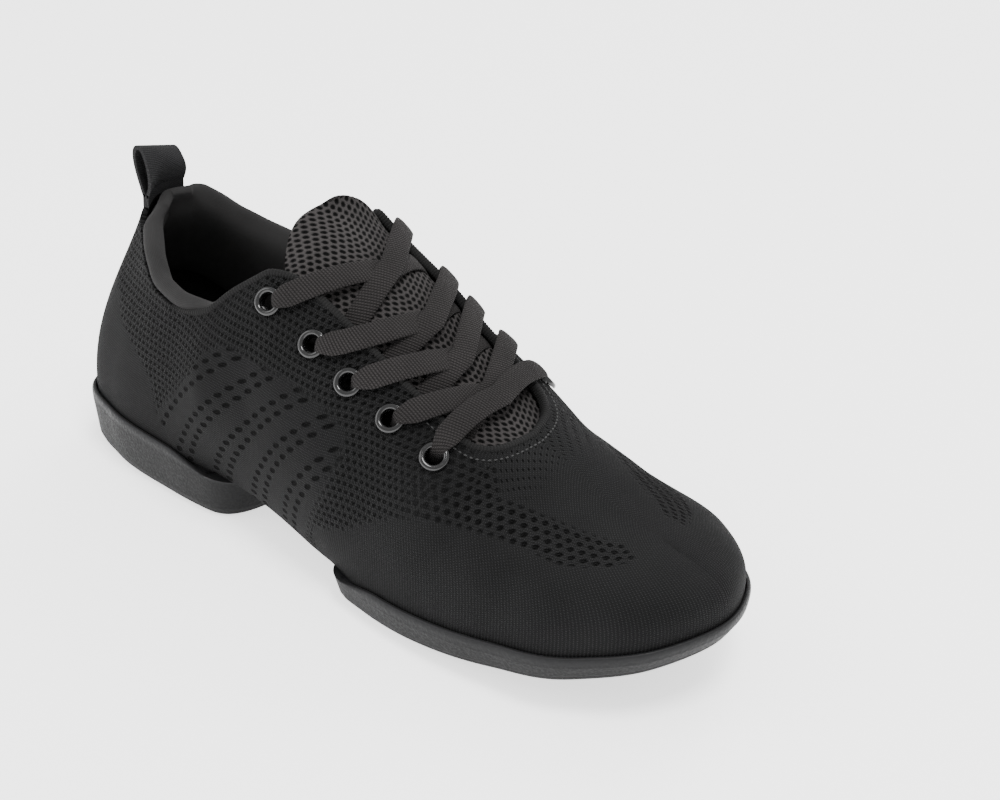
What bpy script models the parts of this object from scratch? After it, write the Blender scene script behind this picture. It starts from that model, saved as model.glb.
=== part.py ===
# A split-sole dance sneaker for the right foot, in metres.
# The shoe is drawn with X forward from the heel, +Y to the medial side and Z up from the floor,
# and at the end it is moved so that the middle of its footprint is at the origin.
import functools
import math

import bmesh
import bpy
import numpy as np
from mathutils import Vector

mm = 0.001

# Lengths and widths
soleLength = 261.7 * mm
heelWidth = 63.0 * mm
waistWidth = 58.4 * mm
ballWidth = 91.3 * mm
collarWidth = 59.0 * mm
throatTopWidth = 48.0 * mm
throatEndWidth = 35.0 * mm

# Heights above the floor
heelRise = 21.2 * mm
heelFrontRise = 19.4 * mm
archRise = 15.8 * mm
ballRise = 12.2 * mm
toeThickness = 8.7 * mm
toeSpring = 19.1 * mm
collarHeight = 92.0 * mm
ankleHeight = 73.3 * mm
instepHeight = 110.0 * mm
toeBoxHeight = 41.0 * mm

# Walls, gaps and the upper's own sizes
clearance = 0.3 * mm
wall = 2.0 * mm
lastingMargin = 11.0 * mm
archTuck = 2.5 * mm
archLean = 18.0

# Sole units and insole
lipWidth = 1.5 * mm
lipDepth = 3.0 * mm
lipGap = 0.7 * mm
soleInset = 2.2 * mm
soleEdge = 3.0 * mm
insoleThickness = 4.0 * mm

# Collar lining and tongue
liningGap = 0.8 * mm
liningDepth = 34.0 * mm
liningPadding = 5.5 * mm
rollHeight = 5.4 * mm
tongueGap = 1.4 * mm
tonguePadding = 5.0 * mm
tongueEdge = 1.8 * mm
tongueFlare = 5.0 * mm
tongueTopWidth = 56.0 * mm
tongueEndWidth = 42.0 * mm
tongueRise = 2.5 * mm
tongueSkew = 1.5 * mm
tongueTail = 15.0 * mm

# Pull loop
loopWidth = 16.5 * mm
loopNotch = 2.4 * mm
loopTilt = 13.0
loopHeight = 19.0 * mm
loopTail = 4.6 * mm
loopOpening = 5.4 * mm
strapThickness = 1.4 * mm

# Eyelets and laces
eyeletRadius = 4.8 * mm
eyeletHole = 2.6 * mm
eyeletBarrel = 3.3 * mm
eyeletHeight = 1.2 * mm
eyeletTail = 0.6 * mm
eyeletInset = 12.5 * mm
laceWidth = 8.0 * mm
laceThickness = 1.4 * mm
laceLift = 0.5 * mm

# Where the parts of the shoe begin and end, as shares of the way from the heel's back to the toe's tip
heelUnitEnd = 0.358
forefootUnitStart = 0.517
collarFront = 0.395
liningFront = 0.37
throatRound = 0.655
throatEnd = 0.70
springStart = 0.60
springPower = 1.6

sideNames = {-1: "lateral", 1: "medial"}


def table(names, *rows):
    return dict(zip(names.split(), np.array(rows, float).T))


# The outline of the sole's rim. X is a share of soleLength, and Y a share of the width in the last column.
outlineTable = table(
    "at lateralX lateralY medialX medialY width",
    (0.00, 0.000, 0.000, 0.000, 0.000, heelWidth),
    (0.06, 0.021, 0.317, 0.035, 0.287, heelWidth),
    (0.14, 0.102, 0.483, 0.113, 0.462, heelWidth),
    (0.25, 0.228, 0.540, 0.236, 0.460, heelWidth),
    (0.39, 0.384, 0.571, 0.389, 0.429, waistWidth),
    (0.54, 0.538, 0.430, 0.541, 0.356, ballWidth),
    (0.67, 0.674, 0.478, 0.675, 0.476, ballWidth),
    (0.79, 0.791, 0.462, 0.807, 0.522, ballWidth),
    (0.89, 0.896, 0.391, 0.911, 0.478, ballWidth),
    (0.95, 0.967, 0.219, 0.976, 0.284, ballWidth),
    (1.00, 1.000, -0.037, 1.000, 0.037, ballWidth),
)

# The collar's edge, from the heel's back to the front corners, which lie on the instep's own curve.
# Y is a share of collarWidth, and Z a share of the height in the last column.
collarTable = table(
    "at x lateralY medialY lateralZ medialZ height",
    (0.000, 0.076, 0.000, 0.000, 1.000, 1.000, collarHeight),
    (0.060, 0.091, 0.165, 0.186, 0.965, 1.000, collarHeight),
    (0.110, 0.126, 0.305, 0.339, 0.908, 0.942, collarHeight),
    (0.160, 0.161, 0.415, 0.407, 1.070, 1.119, ankleHeight),
    (0.210, 0.203, 0.500, 0.449, 1.016, 1.082, ankleHeight),
    (0.260, 0.252, 0.539, 0.475, 1.000, 1.057, ankleHeight),
    (0.310, 0.298, 0.535, 0.466, 1.045, 1.085, ankleHeight),
    (0.350, 0.332, 0.470, 0.430, 1.164, 1.173, ankleHeight),
)

# The ridge of the instep and vamp, as if the throat were closed.
ridgeTable = table(
    "at x y z height",
    (0.395, 0.375, 0.021, 1.005, instepHeight),
    (0.470, 0.450, 0.021, 0.900, instepHeight),
    (0.530, 0.520, 0.018, 0.805, instepHeight),
    (0.600, 0.594, 0.016, 0.692, instepHeight),
    (0.655, 0.652, 0.018, 0.605, instepHeight),
    (0.700, 0.704, 0.021, 0.538, instepHeight),
    (0.760, 0.752, 0.024, 1.330, toeBoxHeight),
    (0.850, 0.822, 0.027, 1.135, toeBoxHeight),
    (1.000, 0.905, 0.028, 1.000, toeBoxHeight),
)

# The two edges of the throat, as distances from the ridge, in shares of the width in the last column.
throatTable = table(
    "at lateral medial width",
    (0.395, 0.575, 0.470, throatTopWidth),
    (0.430, 0.517, 0.500, throatTopWidth),
    (0.470, 0.494, 0.510, throatTopWidth),
    (0.560, 0.462, 0.475, throatTopWidth),
    (0.655, 0.590, 0.585, throatEndWidth),
    (0.700, 0.590, 0.520, throatEndWidth),
)

# How each side wall runs from its foot to its top: its inward lean at the foot and its rise at the
# top, in degrees, and how far each end holds its direction, as a share of the wall's own reach.
wallTable = table(
    "at lateralLean medialLean hold rise lateralTop medialTop",
    (0.00, 4.0, 4.0, 0.42, 70.0, 0.28, 0.28),
    (0.11, 5.0, 5.0, 0.40, 75.0, 0.28, 0.28),
    (0.26, 5.0, -4.0, 0.38, 84.0, 0.30, 0.32),
    (0.35, 6.0, -12.0, 0.41, 76.0, 0.31, 0.40),
    (0.395, 7.0, -15.0, 0.43, 0.0, 0.31, 0.47),
    (0.47, 7.0, -14.0, 0.44, 0.0, 0.34, 0.52),
    (0.55, 7.0, -6.0, 0.43, 0.0, 0.39, 0.58),
    (0.60, 6.0, -2.0, 0.43, 0.0, 0.42, 0.62),
    (0.655, 5.0, 1.0, 0.43, 0.0, 0.45, 0.68),
    (0.70, 4.0, 3.0, 0.44, 0.0, 0.45, 0.62),
    (0.76, 4.0, 4.0, 0.45, 0.0, 0.45, 0.50),
    (0.85, 6.0, 6.0, 0.48, 0.0, 0.46, 0.42),
    (1.00, 8.0, 8.0, 0.55, 0.0, 0.52, 0.50),
)

# The eyelets from the ankle towards the toe: their shares of the way along the shoe, and their
# distances down the wall from the throat's edge, in shares of eyeletInset.
eyeletTable = table(
    "lateral medial lateralInset medialInset",
    (0.410, 0.410, 0.76, 0.90),
    (0.487, 0.487, 1.02, 1.00),
    (0.539, 0.539, 1.04, 1.00),
    (0.598, 0.598, 0.91, 0.92),
    (0.655, 0.655, 0.82, 0.84),
)


def through(xs, ys, at):
    """A smooth curve through the points that never swings past a high or a low, read at one or more places."""
    steps = np.diff(xs)
    slopes = np.diff(ys) / steps
    before, after = slopes[:-1], slopes[1:]
    weightA = 2 * steps[1:] + steps[:-1]
    weightB = steps[1:] + 2 * steps[:-1]
    same = before * after > 0
    safeBefore = np.where(same, before, 1.0)
    safeAfter = np.where(same, after, 1.0)
    inner = np.where(same, (weightA + weightB) / (weightA / safeBefore + weightB / safeAfter), 0.0)
    tangents = np.concatenate([slopes[:1], inner, slopes[-1:]])
    at = np.clip(at, xs[0], xs[-1])
    index = np.clip(np.searchsorted(xs, at, side="right") - 1, 0, len(steps) - 1)
    step = steps[index]
    t = (at - xs[index]) / step
    start = ys[index] * (2 * t**3 - 3 * t**2 + 1) + tangents[index] * step * (t**3 - 2 * t**2 + t)
    return start + ys[index + 1] * (3 * t**2 - 2 * t**3) + tangents[index + 1] * step * (t**3 - t**2)


def rounded(xs, ys, at):
    """A smooth curve through the points that keeps its roundness over highs and lows."""
    tangents = np.gradient(ys, xs)
    index = np.clip(np.searchsorted(xs, at, side="right") - 1, 0, len(xs) - 2)
    step = xs[index + 1] - xs[index]
    t = (at - xs[index]) / step
    start = ys[index] * (2 * t**3 - 3 * t**2 + 1) + tangents[index] * step * (t**3 - 2 * t**2 + t)
    return start + ys[index + 1] * (3 * t**2 - 2 * t**3) + tangents[index + 1] * step * (t**3 - t**2)


def blend(start, end, at):
    t = np.clip((at - start) / (end - start), 0.0, 1.0)
    return t * t * (3 - 2 * t)


def sideOf(at, side):
    """Past the heel's back or the toe's tip a place lies on the other side of the shoe."""
    if at < 0:
        return -at, -side
    if at > 1:
        return 2 - at, -side
    return at, side


def outline(at, side):
    """The point of the sole's rim at a share of the shoe's length, seen from above."""
    rows = outlineTable
    name, other = sideNames[side], sideNames[-side]
    shares = rows["at"]
    where = np.concatenate([-shares[2:0:-1], shares, 2 - shares[-2:-4:-1]])

    def around(column, sign, scale):
        own = sign * rows[name + column] * scale
        far = rows[other + column] * scale * (sign if column == "X" else -sign)
        return np.concatenate([far[2:0:-1], own, far[-2:-4:-1]])

    x = rounded(where, around("X", 1, soleLength), at)
    y = rounded(where, around("Y", side, rows["width"]), at)
    return np.array([x, y])


def inward(at, side):
    """The level direction from the rim towards the inside of the shoe."""
    step = 0.004
    along = outline(at + step, side) - outline(at - step, side)
    across = np.array([along[1], -along[0]]) * side
    return across / np.linalg.norm(across)


def underside(x):
    """Height of the tread above the floor."""
    start = springStart * soleLength
    return toeSpring * np.clip((x - start) / (soleLength - start), 0, 1) ** springPower


def rim(x):
    """Height of the top of the sole's lip, and over the arch of the line that joins the two units."""
    shares = np.array([0.0, heelUnitEnd * 0.8, 0.39, forefootUnitStart + 0.01, 0.62, 1.0])
    heights = np.array([heelRise, heelFrontRise, archRise, ballRise, ballRise, toeThickness])
    return through(shares * soleLength, heights, x) + underside(x)


def seat(x):
    """Height of the sole's top inside its lip."""
    return rim(x) - lipDepth


@functools.lru_cache(maxsize=None)
def archShare(at):
    """1 under the arch, where the upper has no sole below it, and 0 over the two units."""
    ahead = 1 - blend(forefootUnitStart, forefootUnitStart + 0.07, at)
    return blend(heelUnitEnd - 0.11, heelUnitEnd + 0.01, at) * ahead


def foot(at, side):
    """Where the side wall of the upper starts, just inside the sole's lip."""
    inset = lipWidth + lipGap + archTuck * archShare(at)
    x, y = outline(at, side) + inward(at, side) * inset
    return np.array([x, y, seat(x) + clearance])


def collarPoint(at, side):
    """On the collar's edge, behind its front corners."""
    name, other = sideNames[side], sideNames[-side]
    rows = collarTable
    corner = rib(collarFront, side)[3]
    where = np.concatenate([-rows["at"][2:0:-1], rows["at"], [collarFront]])
    xs = rows["x"] * soleLength
    ys = side * rows[name + "Y"] * collarWidth
    farYs = -side * rows[other + "Y"] * collarWidth
    zs = rows[name + "Z"] * rows["height"]
    farZs = rows[other + "Z"] * rows["height"]
    pairs = ((xs, xs, corner[0]), (ys, farYs, corner[1]), (zs, farZs, corner[2]))
    lines = [np.concatenate([far[2:0:-1], own, [end]]) for own, far, end in pairs]
    return np.array([through(where, line, at) for line in lines])


def ridgePoint(at):
    rows = ridgeTable
    x = through(rows["at"], rows["x"] * soleLength, at)
    y = through(rows["at"], rows["y"] * soleLength, at)
    z = through(rows["at"], rows["z"] * rows["height"], at)
    return np.array([x, y, z])


def ridgeSlope(at):
    """How the ridge climbs along X. It is downhill towards the toe, so the value is below zero."""
    step = 0.01
    low, high = max(at - step, collarFront), min(at + step, 1.0)
    a, b = ridgePoint(low), ridgePoint(high)
    return (b[2] - a[2]) / (b[0] - a[0])


def bezier(controls, t):
    a, b, c, d = controls
    s = 1 - t
    return a * s**3 + b * 3 * s * s * t + c * 3 * s * t * t + d * t**3


def trimmed(controls, t):
    """The control points of the same curve, stopped at t."""
    a, b, c, d = controls
    ab, bc = a + (b - a) * t, b + (c - b) * t
    cd = c + (d - c) * t
    abc, bcd = ab + (bc - ab) * t, bc + (cd - bc) * t
    return a, ab, abc, abc + (bcd - abc) * t


def wholeRib(at, side, end, slope, rise):
    """The wall's curve from its foot to an end on the collar or on the ridge."""
    start = foot(at, side)
    names = (sideNames[side] + "Lean", "hold", sideNames[side] + "Top")
    lean, hold, topHold = (through(wallTable["at"], wallTable[name], at) for name in names)
    lean = math.radians(lean + archLean * archShare(at))
    level = inward(at, side)
    reach = np.linalg.norm(end - start)
    leave = np.array([*(-level * math.sin(lean)), math.cos(lean)])
    arrive = np.array([*(level * math.cos(rise)), math.sin(rise) + slope * level[0] * math.cos(rise)])
    return start, start + leave * hold * reach, end - arrive * topHold * reach, end


@functools.lru_cache(maxsize=None)
def closedRib(at, side):
    """From collarFront to the toe, the wall as if the throat were closed."""
    return wholeRib(at, side, ridgePoint(at), ridgeSlope(at), 0.0)


@functools.lru_cache(maxsize=None)
def rib(at, side):
    """The four control points of the wall's curve, and how far along the closed wall it reaches."""
    if at >= throatEnd:
        return *closedRib(at, side), 1.0
    if at >= collarFront:
        share = throatShare(at, side)
        return *trimmed(closedRib(at, side), share), share
    rows = wallTable["at"] < collarFront
    rise = math.radians(through(wallTable["at"][rows], wallTable["rise"][rows], at))
    a, b, c, d = wholeRib(at, side, collarPoint(at, side), 0.0, rise)
    mix = blend(collarFront - 0.17, collarFront, at)
    front = rib(collarFront, side)
    first = (b - a) * (1 - mix) + (front[1] - front[0]) * mix
    last = (d - c) * (1 - mix) + (front[3] - front[2]) * mix
    return a, a + first, d - last, d, 1.0


def throatHalf(at, side):
    """Half the throat's width on one side, closing in a round end over the vamp."""
    name = sideNames[side]
    half = through(throatTable["at"], throatTable[name] * throatTable["width"], at)
    t = np.clip((at - throatRound) / (throatEnd - throatRound), 0, 1)
    return half * (1 - t**2.4) ** (1 / 2.4)


def closedShare(at, side, v):
    """Where along the closed wall a place on the real wall lies."""
    share = rib(at, side)[4]
    if share >= 1:
        return v
    low = 0.55
    straight = v if v < low else low + (v - low) * (share - low) / (1 - low)
    mix = blend(collarFront, collarFront + 0.15, at)
    return v * share * (1 - mix) + straight * mix


@functools.lru_cache(maxsize=None)
def throatShare(at, side):
    """Where along the closed wall the throat cuts it."""
    return shareAt(at, side, throatHalf(at, side))


def shareAt(at, side, half):
    """Where the closed wall, followed down from the ridge, is this far from it, seen from above."""
    controls = closedRib(at, side)
    shares = np.linspace(1.0, 0.30, 80)
    across = np.array([(bezier(controls, t)[1] - controls[3][1]) * side for t in shares])
    widest = np.argmax(across) + 1
    return float(np.interp(half, across[:widest], shares[:widest]))


def wallPoint(at, side, v):
    """The upper's outer face: at runs along the shoe, and v up from the foot at 0 to the edge at 1."""
    at, side = sideOf(at, side)
    at = round(float(at), 6)
    *controls, share = rib(at, side)
    if share < 1:
        return bezier(closedRib(at, side), closedShare(at, side, v))
    return bezier(controls, v)


def instepPoint(at, across):
    """The closed instep, from across -1 at the lateral foot through 0 on the ridge to 1 at the medial foot.

    Behind the collar's front it runs straight on, which is where the tongue's top stands.
    """
    side = -1 if across < 0 else 1
    if at >= collarFront:
        return bezier(closedRib(round(float(at), 6), side), 1 - abs(across))
    step = 0.03
    first = bezier(closedRib(collarFront, side), 1 - abs(across))
    second = bezier(closedRib(collarFront + step, side), 1 - abs(across))
    return first + (first - second) * (collarFront - at) / step


def instepNormal(at, across):
    step = 0.004
    along = instepPoint(at + step, across) - instepPoint(at - step, across)
    over = instepPoint(at, across + step) - instepPoint(at, across - step)
    normal = np.cross(along, over)
    return normal / np.linalg.norm(normal)


def wallNormal(at, side, v):
    """The direction out of the upper at a place on its wall."""
    step = 0.003
    low, high = max(v - step, 0.0), min(v + step, 1.0)
    along = wallPoint(at + step, side, v) - wallPoint(at - step, side, v)
    up = wallPoint(at, side, high) - wallPoint(at, side, low)
    across = np.cross(along, up) * (1 if side < 0 else -1)
    return across / np.linalg.norm(across)


def depthShare(at, side, depth):
    """The v of a place on the wall, measured down the wall from its top edge."""
    shares = np.linspace(1.0, 0.0, 60)
    points = np.array([wallPoint(at, side, v) for v in shares])
    lengths = np.concatenate([[0.0], np.cumsum(np.linalg.norm(np.diff(points, axis=0), axis=1))])
    return float(np.interp(depth, lengths, shares))


def depthPoint(at, side, depth, inside):
    """A place measured down the wall from its top edge, or above it where depth is below 0, and inwards."""
    v = depthShare(at, side, max(depth, 0.0))
    place = wallPoint(at, side, v) - wallNormal(at, side, v) * inside
    if depth < 0:
        up = wallPoint(at, side, 1.0) - wallPoint(at, side, 0.98)
        place = place - up / np.linalg.norm(up) * depth
    return place


# Blender scene, collections and finishes


def clearScene():
    for old in list(bpy.data.objects):
        bpy.data.objects.remove(old, do_unlink=True)


def newCollection(name):
    made = bpy.data.collections.new(name)
    bpy.context.scene.collection.children.link(made)
    return made


def finish(name, colour, roughness, metallic=0.0):
    made = bpy.data.materials.new(name)
    made.use_nodes = True
    shader = made.node_tree.nodes["Principled BSDF"]
    shader.inputs["Base Color"].default_value = (*colour, 1.0)
    shader.inputs["Roughness"].default_value = roughness
    shader.inputs["Metallic"].default_value = metallic
    made.diffuse_color = (*colour, 1.0)
    return made


def meshObject(name, points, faces, finishOf, collection):
    mesh = bpy.data.meshes.new(name)
    mesh.from_pydata([tuple(p) for p in points], [], faces)
    work = bmesh.new()
    work.from_mesh(mesh)
    bmesh.ops.remove_doubles(work, verts=work.verts, dist=0.02 * mm)
    bmesh.ops.recalc_face_normals(work, faces=work.faces)
    work.to_mesh(mesh)
    work.free()
    mesh.materials.append(finishOf)
    mesh.shade_smooth()
    mesh.set_sharp_from_angle(angle=math.radians(40))
    made = bpy.data.objects.new(name, mesh)
    collection.objects.link(made)
    return made


def ringFaces(rings, around, wrap=True):
    """Quads between rings of points, each ring holding the same number of them."""
    faces = []
    for ring in range(rings - 1):
        for step in range(around if wrap else around - 1):
            a = ring * around + step
            b = ring * around + (step + 1) % around
            faces.append((a, b, b + around, a + around))
    return faces


def solidLoft(name, rings, finishOf, collection):
    """A solid through closed rings of points, with a face over each end."""
    around = len(rings[0])
    faces = ringFaces(len(rings), around)
    last = (len(rings) - 1) * around
    faces.append(tuple(reversed(range(around))))
    faces.append(tuple(last + step for step in range(around)))
    return meshObject(name, np.concatenate(rings), faces, finishOf, collection)


def offsetLoop(loop, inset):
    """A level closed loop of points moved inwards."""
    along = np.roll(loop, -1, 0) - np.roll(loop, 1, 0)
    normal = np.stack([along[:, 1], -along[:, 0]], 1)
    normal = normal / np.linalg.norm(normal, axis=1)[:, None]
    area = np.sum(loop[:, 0] * np.roll(loop[:, 1], -1) - loop[:, 1] * np.roll(loop[:, 0], -1))
    return loop - normal * np.reshape(inset, (-1, 1)) * np.sign(area)


# Sole units and insole


def unitLoop(start, end, count, backRound, frontRound):
    """The rim of one sole unit from above, with the round ends that it has inside the shoe's outline."""
    turn = (1 - np.cos(np.linspace(0, math.pi, count))) / 2
    shares = start + (end - start) * (0.45 * turn + 0.55 * np.linspace(0, 1, count))
    left, right = [], []
    for at in shares:
        lateral, medial = outline(at, -1), outline(at, 1)
        middle = (lateral + medial) / 2
        behind = np.clip((backRound - (at - start)) / backRound, 0, 1) if backRound else 0.0
        ahead = np.clip((frontRound - (end - at)) / frontRound, 0, 1) if frontRound else 0.0
        spread = (1 - max(behind, ahead) ** 3.0) ** (1 / 3.0)
        left.append(middle + (lateral - middle) * spread)
        right.append(middle + (medial - middle) * spread)
    return np.array(left + right[-2:0:-1]), shares


def pairedCap(first, around):
    """Faces over a ring whose points lie in pairs across the shoe."""
    faces = []
    for step in range(around // 2):
        corners = (step, step + 1, (around - step - 1) % around, (around - step) % around)
        faces.append(tuple(dict.fromkeys(first + corner for corner in corners)))
    return [face for face in faces if len(face) > 2]


def cappedSolid(name, rings, finishOf, collection):
    """A solid through rings of points that lie in pairs across the shoe."""
    around = len(rings[0])
    last = (len(rings) - 1) * around
    faces = ringFaces(len(rings), around) + pairedCap(0, around) + pairedCap(last, around)
    return meshObject(name, np.concatenate(rings), faces, finishOf, collection)


def soleUnit(name, start, end, count, backRound, frontRound, finishOf, collection):
    """A sole unit as rings from the edge of its tread, round its side and over its lip, to its seat."""
    loop, shares = unitLoop(start, end, count, backRound, frontRound)
    lip = np.ones(count)
    if backRound:
        lip = lip * blend(start + backRound - 0.02, start + backRound + 0.05, shares)
    if frontRound:
        lip = lip * (1 - blend(end - frontRound - 0.05, end - frontRound + 0.02, shares))
    lip = np.concatenate([lip, lip[-2:0:-1]])
    sections = (
        (soleInset + soleEdge, 0.0, 0.0, 0.0),
        (soleInset + soleEdge * 0.30, 0.22, 0.0, 0.0),
        (soleInset * 0.95, 0.75, 0.0, 0.0),
        (soleInset * 0.45, 0.0, 0.55, 0.0),
        (soleInset * 0.20, 0.0, 0.92, 0.0),
        (0.0, 0.0, 1.0, 0.30),
        (0.0, 0.0, 1.0, 0.75),
        (lipWidth * 0.3, 0.0, 1.0, 1.0),
        (lipWidth, 0.0, 1.0, 1.0),
        (lipWidth + 0.02 * mm, 0.0, 1.0, 0.0),
    )
    rings = []
    for inset, edgeShare, thicknessShare, lipShare in sections:
        flat = offsetLoop(loop, inset)
        low = underside(flat[:, 0])
        thickness = seat(flat[:, 0]) - low
        lift = lipDepth * lip * lipShare + (0.02 * mm if lipShare == 1 else 0.0)
        height = low + soleEdge * edgeShare + thickness * thicknessShare + lift
        rings.append(np.column_stack([flat, height]))
    return cappedSolid(name, rings, finishOf, collection)


# Upper


def ribShares():
    """Where the upper's sections stand: closest at the round end of the throat."""
    turn = np.sin(np.linspace(0, math.pi / 2, 6))
    return np.concatenate(
        [
            np.linspace(0, collarFront, 16)[:-1],
            np.linspace(collarFront, throatRound, 10)[:-1],
            throatRound + (throatEnd - throatRound) * turn[:-1],
            np.linspace(throatEnd, 1, 12),
        ]
    )


def marginPoint(at, side, share):
    """On the lasting margin, from the wall's foot at 0 to its inner edge at 1."""
    x, y, z = foot(at, side)
    flat = np.array([x, y])
    inner = flat + inward(at, side) * lastingMargin
    middle = (foot(at, -1)[:2] + foot(at, 1)[:2]) / 2
    ahead = 1 - blend(forefootUnitStart + 0.03, forefootUnitStart + 0.12, at)
    closing = blend(heelUnitEnd - 0.12, heelUnitEnd - 0.03, at) * ahead
    inner = inner * (1 - closing) + middle * closing
    there = flat * (1 - share) + inner * share
    return np.array([there[0], there[1], seat(there[0]) + clearance])


def makeUpper(finishOf, collection, cutters):
    shares = ribShares()
    places = [(at, -1) for at in shares] + [(at, 1) for at in shares[-2:0:-1]]
    margin = (1.0, 0.5, 0.12)
    heights = (0.0, 0.05, 0.13, 0.24, 0.36, 0.49, 0.62, 0.74, 0.85, 0.94, 1.0)
    rings = [np.array([marginPoint(at, side, share) for at, side in places]) for share in margin]
    rings += [np.array([wallPoint(at, side, v) for at, side in places]) for v in heights]
    points = np.concatenate(rings)
    faces = ringFaces(len(rings), len(places))
    upper = meshObject("upper", points, faces, finishOf, collection)
    solidify = upper.modifiers.new("Wall", "SOLIDIFY")
    solidify.thickness = wall
    solidify.offset = -1
    solidify.use_quality_normals = True
    holes = upper.modifiers.new("Eyelet holes", "BOOLEAN")
    holes.operation = "DIFFERENCE"
    holes.operand_type = "COLLECTION"
    holes.collection = cutters
    holes.solver = "EXACT"
    return upper


def makeInsole(finishOf, collection):
    """The footbed inside the upper, on its margin and over its two openings."""
    count = 30
    shares = (1 - np.cos(np.linspace(0, math.pi, count))) / 2
    shares = 0.5 * shares + 0.5 * np.linspace(0, 1, count)
    edge = wall + clearance * 2
    loop = []
    for at, side in [(at, -1) for at in shares] + [(at, 1) for at in shares[-2:0:-1]]:
        start = foot(at, side)
        loop.append(start[:2] + inward(at, side) * (edge + archTuck * archShare(at) * 0.5))
    loop = np.array(loop)
    base = seat(loop[:, 0]) + clearance + wall + clearance
    rings = []
    for inset, height in ((0.8 * mm, 0.0), (0.0, 0.5 * insoleThickness), (1.0 * mm, insoleThickness)):
        rings.append(np.column_stack([offsetLoop(loop, inset), base + height]))
    return cappedSolid("insole", rings, finishOf, collection)


# Collar lining


def liningSection(at, notch):
    """The roll's section as pairs of depth below the upper's edge and distance inside its face."""
    padding = liningPadding * (1 - 0.80 * blend(0.28, liningFront, at))
    top = rollHeight * (1 - 0.80 * blend(0.26, liningFront, at))
    back = wall + liningGap
    outer = max(0.15 * wall, notch)
    lift = clearance + 0.1 * mm
    return (
        (liningDepth, back),
        (liningDepth * 0.5, back),
        (liningDepth * 0.12, back),
        (-lift, back if not notch else notch),
        (-lift - 0.05 * mm, outer),
        (-top * 0.62, outer),
        (-top, outer + padding * 0.35),
        (-top * 0.86, outer + padding * 0.80),
        (-top * 0.15, back + padding * 0.88),
        (liningDepth * 0.15, back + padding),
        (liningDepth * 0.45, back + padding * 0.80),
        (liningDepth, back + min(padding, liningPadding * 0.25)),
    )


def makeLining(finishOf, collection):
    """The padded lining, from one front corner of the collar round the heel to the other, and notched there."""
    fine = np.linspace(0, 0.12, 60)
    half = loopWidth / 2 + loopNotch
    places = []
    for side in (-1, 1):
        across = np.array([abs(collarPoint(at, side)[1]) for at in fine])
        inner, outer = np.interp((half, half + 0.4 * mm), across, fine)
        shares = [inner * 0.5, inner, outer]
        shares += [at for at in ribShares() if outer + 0.01 < at < liningFront - 0.01] + [liningFront]
        rows = [(at, side, at <= inner) for at in shares]
        places += rows[::-1] + [(0.0, -1, True)] if side < 0 else rows
    rings = []
    for at, side, notched in places:
        section = liningSection(at, strapThickness * 2 + clearance * 4 if notched else 0.0)
        rings.append(np.array([depthPoint(at, side, depth, inside) for depth, inside in section]))
    return solidLoft("collar_lining", rings, finishOf, collection)


# Tongue


def makeTongue(finishOf, collection):
    """A padded tongue along the underside of the closed instep, from above the collar to under the vamp.

    Its top is cut askew, higher on the lateral side, and its medial half stands up a little there.
    """
    top = collarFront - tongueRise / soleLength
    root = throatEnd + tongueTail / soleLength
    roundEnd = top + 0.055
    turn = np.cos(np.linspace(0.10, math.pi / 2, 6))
    shares = np.concatenate([roundEnd - (roundEnd - top) * turn, np.linspace(roundEnd, root, 10)[1:]])
    rings = []
    for at in shares:
        spread = (1 - np.clip((roundEnd - at) / (roundEnd - top), 0, 1) ** 3.0) ** (1 / 3.0)
        half = through(np.array([top, root]), np.array([tongueTopWidth, tongueEndWidth]) / 2, at) * spread
        soft = (tonguePadding - tongueEdge) * (1 - blend(throatRound, root, at)) * (0.35 + 0.65 * spread)
        free = 1 - blend(top, top + 0.05, at)
        outer, inner = [], []
        for place in np.sin(np.linspace(-math.pi / 2, math.pi / 2, 9)):
            side = -1 if place < 0 else 1
            there = at + tongueSkew / soleLength * place * free
            across = (1 - shareAt(max(there, collarFront), side, half * abs(place))) * side
            middle = instepPoint(there, across)
            normal = instepNormal(there, across)
            lift = 1.4 * place * (1 - place**4) if place > 0 else place
            offset = wall + tongueGap + tongueFlare * (0.3 - lift) * free
            depth = tongueEdge + soft * (1 - abs(place) ** 3)
            outer.append(middle - normal * offset)
            inner.append(middle - normal * (offset + depth))
        rings.append(np.array(outer + inner[::-1]))
    return solidLoft("tongue", rings, finishOf, collection)


# Pull loop


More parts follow.
